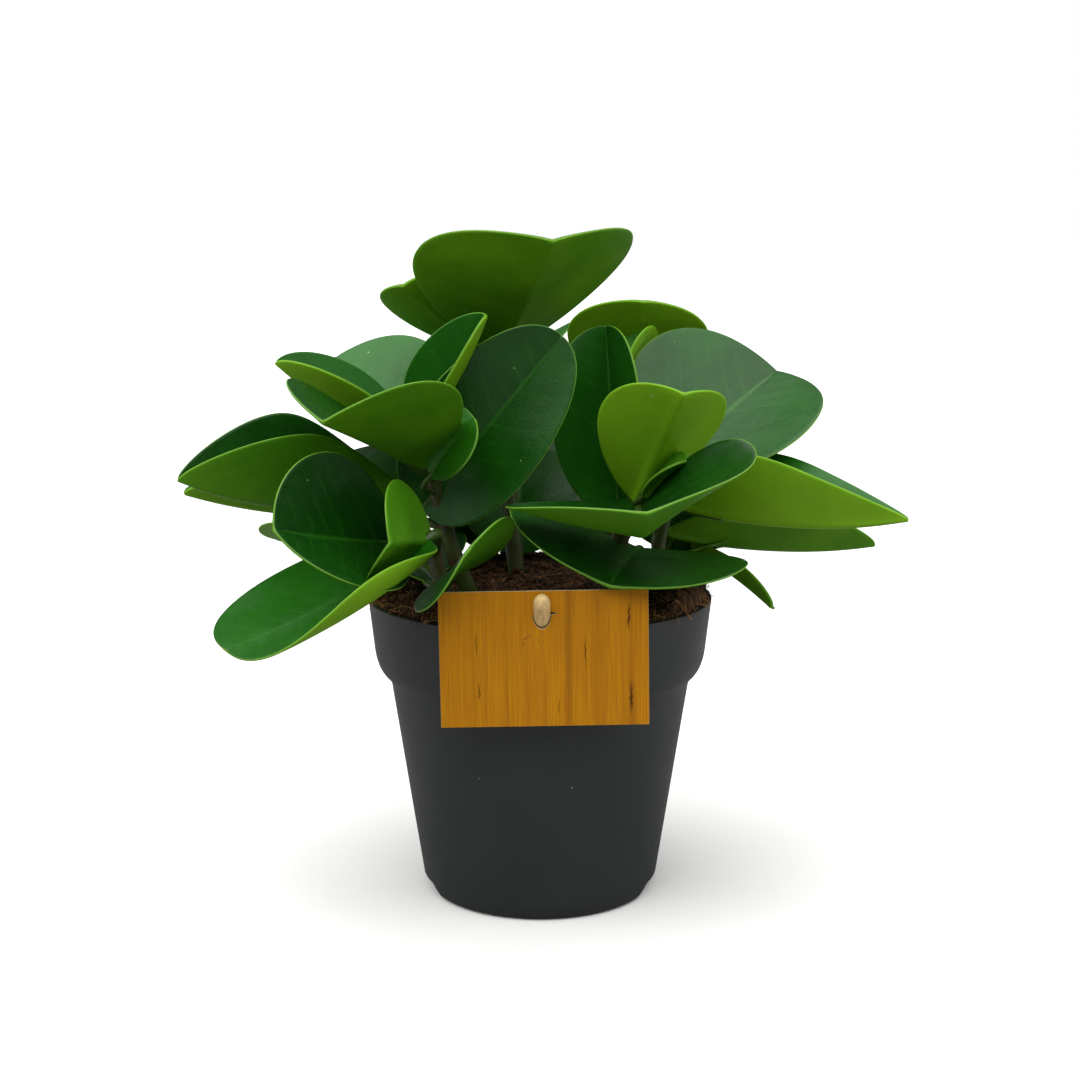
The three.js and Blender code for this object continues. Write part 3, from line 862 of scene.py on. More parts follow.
@dataclass(frozen=True)
class Leaf:
    """One leaf, in millimetres and degrees: the two ends of its midrib, its full width, the way
    its upper face looks, how far its left and right halves fold up from the midrib, the curl of
    each half, the rise of the midrib over its length, how the fold fades to the tip, its
    fullness near the base and near the tip, the dip of its rounded end, and how far its face
    turns from base to tip."""

    base: tuple[float, float, float]
    tip: tuple[float, float, float]
    width: float
    face: tuple[float, float, float]
    fold: tuple[float, float]
    cup: tuple[float, float] = (10, 10)
    bend: float = 0.0
    open: float = 0.0
    round: float = 0.8
    point: float = 0.5
    notch: float = 0.015
    twist: float = 0.0


class Blade:
    """A leaf's blade as a fleshy plate: its upper surface by formula, and a thickness under it."""

    LENGTH_FACES = 40
    WIDTH_FACES = 22
    THICKNESS = 1.4
    MARGIN = 0.9
    MIDRIB = 1.1
    BASE_HALF = 1.3
    RIB_WIDTH = 1.3
    RIB_TIP = 0.12
    GROOVE = 0.35
    GROOVE_FADE = 0.6
    GROOVE_WIDTH = 1.2
    VEIN_SPACING = 7.0
    VEIN_CLIMB = (0.5, 0.012)  # how far a side vein runs forward: per mm out, and per mm squared
    QUILT = 0.035
    DIMPLE = 0.22
    DIMPLE_SIZES = (13.0, 6.0)
    WAVE = 0.7
    WAVE_WIDTH = 50.0  # the width of the leaf that WAVE is given for
    WAVE_PACE = (3.2, 0.4)  # how quickly the wave changes: along the leaf and out to its margin
    MARGIN_BIAS = 0.055  # draws the columns of faces towards the midrib and the margin

    def __init__(self, leaf: Leaf, seed: int) -> None:
        """Works out the leaf's own directions.

        Args:
            leaf: The leaf's description.
            seed: A number that gives the leaf its own undulation and shade.
        """
        self.leaf = leaf
        self.seed = seed
        self.tone = random.Random(seed).random()
        self.youth = clamp((28 - leaf.width) / 12) * 0.7
        self.root = Vector(leaf.base)
        self.along = Vector(leaf.tip) - self.root
        self.length = self.along.length
        self.along.normalize()
        facing = Vector(leaf.face)
        self.normal = (facing - self.along * facing.dot(self.along)).normalized()

    def half_width(self, u: float) -> float:
        """Half of the blade's width at step u from base to tip."""
        x = (1 - math.cos(math.pi * u)) / 2
        leaf = self.leaf
        peak = leaf.round / (leaf.round + leaf.point)
        share = (1 - x) ** leaf.point * x**leaf.round
        share /= (1 - peak) ** leaf.point * peak**leaf.round
        return share * leaf.width / 2 + self.BASE_HALF * (1 - u) * (1 - share)

    def length_share(self, u: float, v: float) -> float:
        """The share of the leaf's length at step u and at v from midrib to margin."""
        notch = self.leaf.notch * math.sin(math.pi * clamp((u - 0.6) / 0.4))
        return (1 - v) * u + v * ((1 - math.cos(math.pi * u)) / 2 + notch)

    def surface(self, s: float, side: int, distance: float) -> Vector:
        """The smooth upper surface.

        Args:
            s: The share of the leaf's length.
            side: 0 for the left half and 1 for the right.
            distance: The distance out from the midrib, along the surface.

        Returns:
            The point, in millimetres.
        """
        leaf = self.leaf
        fade = 1 - leaf.open * (s - 0.5)
        rise = math.radians(leaf.fold[side]) * fade
        curl = math.radians(leaf.cup[side]) * fade
        turn = curl * distance / (leaf.width / 2)
        out, up = distance * math.cos(rise), distance * math.sin(rise)
        if abs(curl) > 1e-4:
            bow = leaf.width / 2 / curl
            out = bow * (math.sin(rise + turn) - math.sin(rise))
            up = bow * (math.cos(rise) - math.cos(rise + turn))
        turned_by = math.radians(leaf.twist) * (s - 0.5)
        normal = Matrix.Rotation(turned_by, 3, self.along) @ self.normal
        local = (normal - self.along * (4 * leaf.bend * (1 - 2 * s))).normalized()
        point = self.root + self.along * (self.length * s)
        point += normal * (4 * leaf.bend * self.length * s * (1 - s))
        return point + self.along.cross(normal) * (out if side else -out) + local * up

    def place(self, u: float, v: float, side: int) -> Vector:
        """The smooth upper surface's point at step u and at v from midrib to margin."""
        return self.surface(self.length_share(u, v), side, self.half_width(u) * v)

    def normal_at(self, u: float, v: float, side: int) -> Vector:
        """The upper surface's normal.

        Args:
            u: The step from base to tip.
            v: From 0 at the midrib to 1 at the margin.
            side: 0 for the left half and 1 for the right.

        Returns:
            The unit normal.
        """
        u = clamp(u, 0.03, 0.97)
        ahead = self.place(u + 0.02, v, side) - self.place(u - 0.02, v, side)
        if v < 0.05:
            right = self.place(u, 0.05, 1) - self.place(u, 0.05, 0)
        else:
            right = self.place(u, v, side) - self.place(u, v - 0.05, side)
            right = right if side else -right
        return right.cross(ahead).normalized()

    def vein_start(self, u: float, v: float, side: int) -> float:
        """Where on the midrib the side vein through a point starts, in millimetres."""
        distance = self.half_width(u) * v
        slant, sweep = self.VEIN_CLIMB
        climb = slant * distance + sweep * distance**2
        return self.length_share(u, v) * self.length - climb + self.VEIN_SPACING * (10 + side / 2)

    def relief(self, u: float, v: float, side: int, point: Vector) -> float:
        """The height of the upper face's own relief over the smooth surface.

        Args:
            u: The step from base to tip.
            v: From 0 at the midrib to 1 at the margin.
            side: 0 for the left half and 1 for the right.
            point: The point on the smooth surface.

        Returns:
            The height, in millimetres.
        """
        distance = self.half_width(u) * v
        inside = math.sin(math.pi * clamp(v)) ** 0.5 * math.sin(math.pi * clamp(u)) ** 0.5
        groove = self.GROOVE * math.exp(-((distance / self.GROOVE_WIDTH) ** 2))
        groove *= 1 - self.GROOVE_FADE * u
        ridge = math.cos(FULL_TURN * self.vein_start(u, v, side) / self.VEIN_SPACING)
        broad, small = self.DIMPLE_SIZES
        wander = noise.noise(point / broad + Vector((self.seed, 0, 0)))
        wander += 0.5 * noise.noise(point / small + Vector((0, self.seed, 0)))
        return -groove - self.QUILT * ridge * inside + self.DIMPLE * wander * inside

    def wave(self, u: float, v: float) -> float:
        """The slow wave of the whole blade towards its margin, in millimetres."""
        along, out = self.WAVE_PACE
        swing = noise.noise(Vector((u * along, self.seed * 7.3, v * out)))
        height = self.WAVE * self.leaf.width / self.WAVE_WIDTH
        return height * swing * v**2 * math.sin(math.pi * clamp(u))

    def depth(self, u: float, v: float) -> float:
        """The blade's thickness, with the midrib standing out of its underside."""
        distance = self.half_width(u) * v
        rib = (self.MIDRIB * (1 - u) + self.RIB_TIP) * math.exp(-((distance / self.RIB_WIDTH) ** 2))
        return self.MARGIN + (self.THICKNESS - self.MARGIN) * (1 - v * v) + rib

    def build(self, bm: bmesh.types.BMesh) -> None:
        """Adds the blade, with the numbers that its finish reads.

        Args:
            bm: The bmesh that gets it.
        """
        layers = {
            layer: bm.verts.layers.float.get(layer.value) or bm.verts.layers.float.new(layer.value)
            for layer in Layer
            if layer is not Layer.FLUSH
        }
        lower = bmesh.ops.create_grid(
            bm, x_segments=self.LENGTH_FACES, y_segments=self.WIDTH_FACES, size=1
        )["verts"]
        flat = {}
        for vert in lower:
            u = (vert.co.x + 1) / 2
            t = abs(vert.co.y)
            v = t - self.MARGIN_BIAS * math.sin(FULL_TURN * t)
            flat[vert] = (u, v, 1 if vert.co.y < 0 else 0)
        faces = {face for vert in lower for face in vert.link_faces}
        raised = bmesh.ops.extrude_face_region(bm, geom=list(faces))["geom"]
        upper = {
            (round(vert.co.x, 4), round(vert.co.y, 4)): vert
            for vert in raised
            if isinstance(vert, bmesh.types.BMVert)
        }
        for vert, (u, v, side) in flat.items():
            top = upper[(round(vert.co.x, 4), round(vert.co.y, 4))]
            if u > 0.999:
                v = 0.0
            smooth = self.place(u, v, side)
            normal = self.normal_at(u, v, side)
            smooth += normal * self.wave(u, v)
            top.co = (smooth + normal * self.relief(u, v, side, smooth)) * MM
            vert.co = (smooth - normal * self.depth(u, v)) * MM
            numbers = {
                Layer.EDGE: v,
                Layer.VEIN: self.vein_start(u, v, side),
                Layer.TONE: self.tone,
                Layer.YOUTH: self.youth,
            }
            for layer, value in numbers.items():
                top[layers[layer]] = vert[layers[layer]] = value
            top[layers[Layer.FACE]] = 1.0
            vert[layers[Layer.FACE]] = 0.0
        ends = [v for v in (*lower, *upper.values()) if v.is_valid]
        bmesh.ops.remove_doubles(bm, verts=ends, dist=0.002 * MM)


@dataclass(frozen=True)
class LeafyStem:
    """One stem with the leaves that grow on it: its axis, its radius at the foot, and the
    leaves, in millimetres."""

    name: str
    path: tuple[tuple[float, float, float], ...]
    radius: float
    leaves: tuple[Leaf, ...]
    seed: int = 0
    top_share: float = 0.6  # the stem's radius at its top, as a share of the foot's
    bearing: tuple[float, float] = (0.4, 0.98)  # the shares of the stem between which stalks grow
    lowest_stalk: float = 114.0
    stalk_per_width: float = 0.032  # a stalk's radius, as a share of its leaf's width
    stalk_radii: tuple[float, float] = (0.9, 2.1)  # the least and the most
    stalk_drop: tuple[float, float] = (3.0, 0.45)  # its fall to the stem: in all, and per mm out
    stalk_foot: tuple[float, float] = (0.25, 0.12)  # its swelling at the stem, and that one's reach
    stalk_flush: tuple[float, float] = (0.55, 0.3)  # its red at the stem, and that one's reach
    stalk_taper: float = 0.45  # the share of the stalk where it starts to taper
    stalk_tip: float = 0.75
    stalk_sink: float = 0.8  # how far its axis lies under the leaf, as a share of its radius
    stalk_reach: float = 0.24  # how far a stalk runs on under the midrib, as a share of the leaf
    node_swelling: float = 0.1
    node_reach: float = 2.2
    flush: tuple[float, float] = (0.45, 0.5)  # the stem's red all along it, and more at its nodes
    flush_reach: float = 3.5
    stem_sides: int = 20
    stem_steps: int = 40
    stalk_sides: int = 12
    stalk_steps: int = 18

    def stalk_line(self, leaf: Leaf, blade: Blade, stem: GrowthLine) -> tuple[GrowthLine, float]:
        """The line of a leaf's stalk, from the stem's axis to under the midrib.

        Args:
            leaf: The leaf.
            blade: The leaf's blade.
            stem: The stem's axis.

        Returns:
            The line and the stalk's radius.
        """
        base = Vector(leaf.base)
        radius = clamp(leaf.width * self.stalk_per_width, *self.stalk_radii)
        level = stem.at_height(base.z, *self.bearing)
        drop = self.stalk_drop[0] + self.stalk_drop[1] * (level - base).xy.length
        root = stem.at_height(max(base.z - drop, self.lowest_stalk), *self.bearing)
        start = base - blade.normal * (self.stalk_sink * radius)
        return GrowthLine([
            root,
            start - blade.along * (0.3 * (root - base).length),
            start,
            blade.surface(self.stalk_reach, 1, 0) - blade.normal * (self.stalk_tip + 0.5),
        ]), radius

    def build_blades(self) -> bpy.types.Object:
        """Builds the leaves of this stem.

        Returns:
            The blades, as one piece.
        """
        bm = bmesh.new()
        for number, leaf in enumerate(self.leaves):
            Blade(leaf, self.seed * 100 + number).build(bm)
        piece = new_piece(self.name.replace("leafy_stem", "leaves"), bm)
        smoother = piece.modifiers.new("round_margins", "SUBSURF")
        smoother.levels = smoother.render_levels = 1
        return piece

    def build_stalks(self) -> bpy.types.Object:
        """Builds the stem and the stalks of its leaves.

        Returns:
            The stem and stalks, as one piece.
        """
        bm = bmesh.new()
        flush = bm.verts.layers.float.new(Layer.FLUSH.value)
        stem = GrowthLine([Vector(point) for point in self.path])
        stalks = []
        for number, leaf in enumerate(self.leaves):
            stalks.append(self.stalk_line(leaf, Blade(leaf, self.seed * 100 + number), stem))
        nodes = [line.at(0).z for line, _ in stalks]

        def stem_radius(share: float) -> float:
            """The stem's radius, swollen round its nodes and rounded off at its top."""
            z = stem.at(share).z
            swelling = max(math.exp(-(((z - node) / self.node_reach) ** 2)) for node in nodes)
            end = math.sqrt(clamp(1 - (clamp((share - 0.95) / 0.05)) ** 2, 0.02))
            taper = 1 + (self.top_share - 1) * share
            return self.radius * taper * (1 + self.node_swelling * swelling) * end

        for vert, share in grow_limb(bm, stem, stem_radius, self.stem_sides, self.stem_steps):
            z = vert.co.z / MM
            nearness = max(math.exp(-(((z - node) / self.flush_reach) ** 2)) for node in nodes)
            vert[flush] = self.flush[0] + self.flush[1] * nearness
        for line, radius in stalks:

            def stalk_radius(share: float, radius: float = radius) -> float:
                """The stalk's radius: swollen at the stem, then tapering under the midrib."""
                swelling, reach = self.stalk_foot
                tapered = clamp((share - self.stalk_taper) / (1 - self.stalk_taper))
                foot = 1 + swelling * math.exp(-((share / reach) ** 2))
                return (radius + (self.stalk_tip - radius) * tapered) * foot

            for vert, share in grow_limb(
                bm, line, stalk_radius, self.stalk_sides, self.stalk_steps
            ):
                red, reach = self.stalk_flush
                vert[flush] = red * math.exp(-((share / reach) ** 2))
        bmesh.ops.recalc_face_normals(bm, faces=bm.faces)
        return new_piece(self.name.replace("leafy_stem", "stem"), bm)

    def dress(self, skin: bpy.types.Material, stem_skin: bpy.types.Material) -> None:
        """Builds, finishes and fits the leaves and their stem.

        Args:
            skin: The leaves' material.
            stem_skin: The stem's material.
        """
        blades = self.build_blades()
        blades.data.materials.append(skin)
        fit_piece(blades, "leaf", self.name)
        stalks = self.build_stalks()
        stalks.data.materials.append(stem_skin)
        fit_piece(stalks, "leaf", self.name)


UP = (0, 0, 1)

LEAFY_STEMS = (
    LeafyStem(
        "leafy_stem_left",
        ((-18, -7, 72), (-22, -11, 100), (-30, -18, 125), (-37, -24, 154)),
        3.6,
        (
            Leaf((-47, -12, 143), (-115, -50, 153), 62, (0, -0.05, 1), (56, 72), (5, 5), -0.09,
                 point=0.8, round=0.9),
            Leaf((-48, 4, 135), (-117, -31, 146), 40, (0, 0.1, 1), (38, 30), bend=-0.05, point=0.8),
            Leaf((-37, -25, 153), (-66, -73, 174), 68, (0, -0.1, 1), (32, 22), (12, 12)),
            Leaf((-40, -5, 155), (-87, -21, 188), 34, (-0.1, -0.2, 1), (40, 50), bend=-0.04,
                 point=0.7),
            Leaf((-37, -5, 160), (-73, 28, 186), 56, (0.3, -0.7, 0.6), (10, 10)),
            Leaf((-38, -21, 163), (-18, -39, 204), 32, (-0.35, -0.95, 0.3), (15, 70), bend=-0.03,
                 round=0.5, point=0.75),
            Leaf((-36, -36, 152), (-21, -45, 171), 26, (-0.3, -0.8, 0.7), (10, 10), bend=0.03),
            Leaf((-40, -21, 138), (7, -34, 197), 46, (0.05, -1, 0.3), (12, 15), (15, 15),
                 round=0.42),
            Leaf((-46, -8, 144), (-91, 44, 142), 52, UP, (22, 12), bend=0.05),
            Leaf((-37, -6, 149), (-41, 56, 152), 44, UP, (20, 16), bend=0.05),
        ),
        seed=1,
    ),
    LeafyStem(
        "leafy_stem_front_left",
        ((-22, -22, 72), (-27, -27, 98), (-32, -34, 115), (-37, -40, 134)),
        3.4,
        (
            Leaf((-45, -42, 131), (-79, -88, 143), 54, (0.5, -0.6, 0.5), (20, 15), (20, 20), -0.04,
                 round=0.6),
            Leaf((-28.5, -43, 121), (-22.5, -75, 134.6), 43, (-0.52, -0.1, 0.85), (-5, -6), (5, -14),
                 twist=30, round=0.55),
            Leaf((-37, -49, 134), (-95, -87, 106), 64, (-0.25, -0.42, 0.85), (-8, -5), (85, 5),
                 -0.05, 0.6, 0.5),
            Leaf((-36, -40, 131), (-46, -83, 138), 40, (-0.9, 0.1, 0.2), (20, 20), (15, 15),
                 round=0.5),
            Leaf((-44, -18, 120), (-94, 22, 121), 44, UP, (15, 15), bend=0.06),
            Leaf((-38, -16, 113), (-60, 54, 109), 50, UP, (12, 12), (8, 8), 0.05),
        ),
        seed=2,
    ),
    LeafyStem(
        "leafy_stem_front",
        ((20, -11, 72), (22, -12, 98), (26, -15, 120), (31, -20, 143)),
        3.6,
        (
            Leaf((27, -8, 135), (22, -11, 199), 46, (-0.1, -1, 0.2), (25, 55), (15, 15), round=0.55),
            Leaf((39, -2, 145), (85, 28, 181), 76, (-0.1, -0.75, 0.65), (12, 25), (6, 6), 0.03,
                 round=0.7),
            Leaf((32, -22, 142), (45, -56, 181), 45, (-0.2, 1, 0.6), (16, 22), (12, 12)),
            Leaf((33, -22, 142), (32, -86, 148), 88, UP, (40, 8), (15, 12), -0.14, 0.9,
                 point=0.42),
            Leaf((34, -30, 145), (47, -42, 158), 12, (-0.2, -0.2, 1), (30, 10), bend=0.05),
            Leaf((34, -8, 123), (22, -66, 121.5), 82, (0.14, -0.2, 1), (8, 12), bend=0.03,
                 round=0.7, point=0.38),
            Leaf((39, -2, 136), (76, 46, 136), 46, UP, (20, 20), (12, 12), 0.05),
        ),
        seed=3,
    ),
    LeafyStem(
        "leafy_stem_tall",
        ((-7, 20, 72), (-8, 22, 98), (-12, 26, 150), (-15, 30, 187)),
        3.6,
        (
            Leaf((-14, 15, 189), (4, -38, 228), 80, (-0.15, 0.54, 0.83), (15, 10), (14, 12),
                 notch=0.02),
            Leaf((-18, 25, 188), (-46, -8, 213), 40, (0.3, 0.6, 0.6), (20, 0), (15, 15)),
            Leaf((-10, 30, 180), (-6, 86, 187), 44, UP, (20, 20), (12, 12), 0.04),
            Leaf((-18, 32, 175), (-40, 86, 174), 52, UP, (20, 20), (12, 12), 0.05),
            Leaf((-22, 26, 170), (-76, 62, 163), 50, UP, (18, 18), bend=0.05),
            Leaf((-12, 41, 114), (-24, 61, 150), 40, (0, -1, 0.4), (8, 8), bend=0.04, round=0.45),
            Leaf((-8, 34, 113), (-7, 50, 150), 50, (0, -1, 0.4), (12, 12), bend=0.04, round=0.6),
            Leaf((-14, 28, 186), (-12, 46, 212), 28, (0, -0.7, 0.5), (30, 30), bend=0.03),
        ),
        seed=4,
    ),
    LeafyStem(
        "leafy_stem_back",
        ((19, 29, 72), (21, 31, 98), (26, 34, 130), (28, 30, 168)),
        3.4,
        (
            Leaf((34, 58, 169), (37, 32, 206), 52, (0, 1, 0.4), (0, 0), (0, 0), 0.05, notch=0.0),
            Leaf((26, 22, 167), (42, 39, 194), 24, (-0.7, -0.2, 0.5), (40, 40)),
            Leaf((36, 46, 160), (88, 78, 164), 56, UP, (20, 20), (12, 12), 0.05),
            Leaf((32, 52, 154), (56, 89, 146), 50, UP, (20, 20), (12, 12), 0.06),
            Leaf((13, 50, 116), (12, 69, 154), 42, (0, -1, 0.4), (8, 8), bend=0.04, round=0.45),
            Leaf((30, 60, 166), (28, 80, 190), 28, (0, -0.6, 0.6), (30, 30), bend=0.03),
        ),
        seed=5,
    ),
    LeafyStem(
        "leafy_stem_right",
        ((34, 6, 72), (37, 5, 98), (40, 0, 115), (44, -4, 135)),
        3.2,
        (
            Leaf((44, -8, 139), (119, -43, 139), 54, UP, (50, 62), (5, 5), -0.06, point=1.05,
                 round=0.6),
            Leaf((45, 8, 126), (119, 12, 121), 44, (0, 0.1, 1), (40, 45), bend=-0.05, point=0.9),
            Leaf((55, 14, 120), (80, -16, 104), 13, (0.85, 0.1, 0.45), (10, 10), bend=0.03),
            Leaf((50, 10, 118), (96, 46, 114), 50, UP, (16, 16), bend=0.05),
            Leaf((44, 12, 119), (52, 36, 134), 44, (0, -1, 0.4), (8, 8), bend=0.04, round=0.4),
        ),
        seed=6,
    ),
)


# ---------------------------------------------------------------- the pot and its soil


@dataclass(frozen=True)
class GrowersPot:
    """The moulded pot: a tapered body, a tall collar, a rounded foot with notches, and drains."""

    height: float = 105.0
    rim_radius: float = 60.0
    collar_radius: float = 57.7
    collar_foot: float = 84.7
    neck_radius: float = 52.3
    neck_z: float = 75.0
    base_radius: float = 42.0
    base_z: float = 8.0
    underside: float = 4.5
    floor_top: float = 6.3
    wall: float = 1.6
    foot_inner: float = 34.0
    foot_outer: float = 37.0
    notch_angles: tuple[float, ...] = (75.0, 180.0, 285.0)
    notch_width: float = 26.5
    notch_top: float = 15.6
    notch_height: float = 5.2
    notch_start: float = 33.4
    notch_depth: float = 12.0
    notch_rounding: float = 1.6
    drains: int = 6
    drain_radius: float = 4.0
    drain_circle: float = 24.0
    drain_rod: float = 8.0  # the length of the rod that cuts a drain hole
    turn_steps: int = 120
    rim_rounding: float = 0.55

    def bore(self, z: float) -> float:
        """The bore's radius in the collar at a height."""
        slope = (self.rim_radius - self.collar_radius) / (self.height - self.collar_foot)
        return self.rim_radius - self.wall - (self.height - z) * slope

    def outside(self) -> list[tuple[float, float, float]]:
        """The pot's outer section, from the axis under the floor up to the rim.

        Returns:
            Points of radius and height, each with the rounding of its corner.
        """
        return [
            (0.0, self.underside, 0.0),
            (self.foot_inner, self.underside, 0.0),
            (self.foot_inner, 0.0, 0.5),
            (self.foot_outer, 0.0, 0.6),
            (self.base_radius - 2.0, 0.7, 1.2),
            (self.base_radius - 0.7, 3.6, 1.6),
            (self.base_radius, self.base_z, 1.6),
            (self.neck_radius, self.neck_z, 0.7),
            (self.neck_radius + 0.9, self.neck_z + 1.9, 0.7),
            (self.collar_radius - 1.5, self.collar_foot - 4.6, 1.8),
            (self.collar_radius, self.collar_foot, 1.8),
            (self.rim_radius, self.height, self.rim_rounding),
        ]

    def inside(self) -> list[tuple[float, float]]:
        """The pot's inner section, from the axis on top of the floor up to the rim.

        Returns:
            Points of radius and height.
        """
        return [
            (0.0, self.floor_top),
            (self.base_radius - self.wall - 1.6, self.floor_top),
            (self.base_radius - self.wall, self.base_z + 0.4),
            (self.neck_radius - self.wall, self.neck_z + 0.8),
            (self.neck_radius - self.wall + 0.5, self.neck_z + 2.0),
            (self.collar_radius - self.wall - 3.4, self.neck_z + 3.5),
            (self.collar_radius - self.wall - 1.5, self.collar_foot - 4.4),
            (self.bore(self.collar_foot), self.collar_foot + 0.2),
            (self.rim_radius - self.wall, self.height),
        ]

    def notch(self, angle: float) -> bmesh.types.BMesh:
        """A wedge that cuts one notch in the foot ring.

        Args:
            angle: Its place round the pot, in degrees from the front.

        Returns:
            The wedge.
        """
        bm = bmesh.new()
        bmesh.ops.create_cube(bm, size=1)
        for vert in bm.verts:
            across = self.notch_top if vert.co.z > 0 else self.notch_width
            height = self.notch_height if vert.co.z > 0 else -1.0
            out = self.notch_start + self.notch_depth * (0.5 - vert.co.y)
            vert.co = Vector((vert.co.x * across, -out, height)) * MM
        upright = [e for e in bm.edges if abs(e.verts[0].co.z - e.verts[1].co.z) < 0.1 * MM
                   and e.verts[0].co.z > 0 and abs(e.verts[0].co.x - e.verts[1].co.x) < 0.1 * MM]
        bmesh.ops.bevel(
            bm, geom=upright, offset=self.notch_rounding * MM, segments=4, profile=0.5,
            affect="EDGES", material=-1,
        )
        turn = Matrix.Rotation(math.radians(angle), 4, "Z")
        bmesh.ops.transform(bm, matrix=turn, verts=bm.verts)
        return bm

    def drain(self, number: int) -> bmesh.types.BMesh:
        """A rod that cuts one drain hole in the floor."""
        bm = bmesh.new()
        bmesh.ops.create_cone(
            bm, cap_ends=True, segments=32, radius1=self.drain_radius * MM,
            radius2=self.drain_radius * MM, depth=self.drain_rod * MM,
        )
        angle = FULL_TURN / self.drains * (number + 0.5)
        place = Matrix.Rotation(angle, 4, "Z") @ Matrix.Translation(
            Vector((0, -self.drain_circle, (self.underside + self.floor_top) / 2)) * MM
        )
        bmesh.ops.transform(bm, matrix=place, verts=bm.verts)
        return bm

    def build(self) -> bpy.types.Object:
        """Builds the pot.

        Returns:
            The pot.
        """
        outside = self.outside()
        bm = turned([row[:2] for row in outside] + self.inside()[::-1], self.turn_steps)
        rim_inside = (self.rim_radius - self.wall, self.height, self.rim_rounding)
        round_rings(bm, [row for row in (*outside, rim_inside) if row[2]])
        pot = new_piece("grower_pot", bm)
        cut_away(pot, [self.notch(angle) for angle in self.notch_angles])
        cut_away(pot, [self.drain(number) for number in range(self.drains)])
        smooth_below(pot, 32)
        return pot

    def dress(self) -> None:
        """Builds, finishes and fits the pot."""
        pot = self.build()
        pot.data.materials.clear()
        pot.data.materials.append(MouldedPolypropylene().material())
        fit_piece(pot, "pot", "pot")


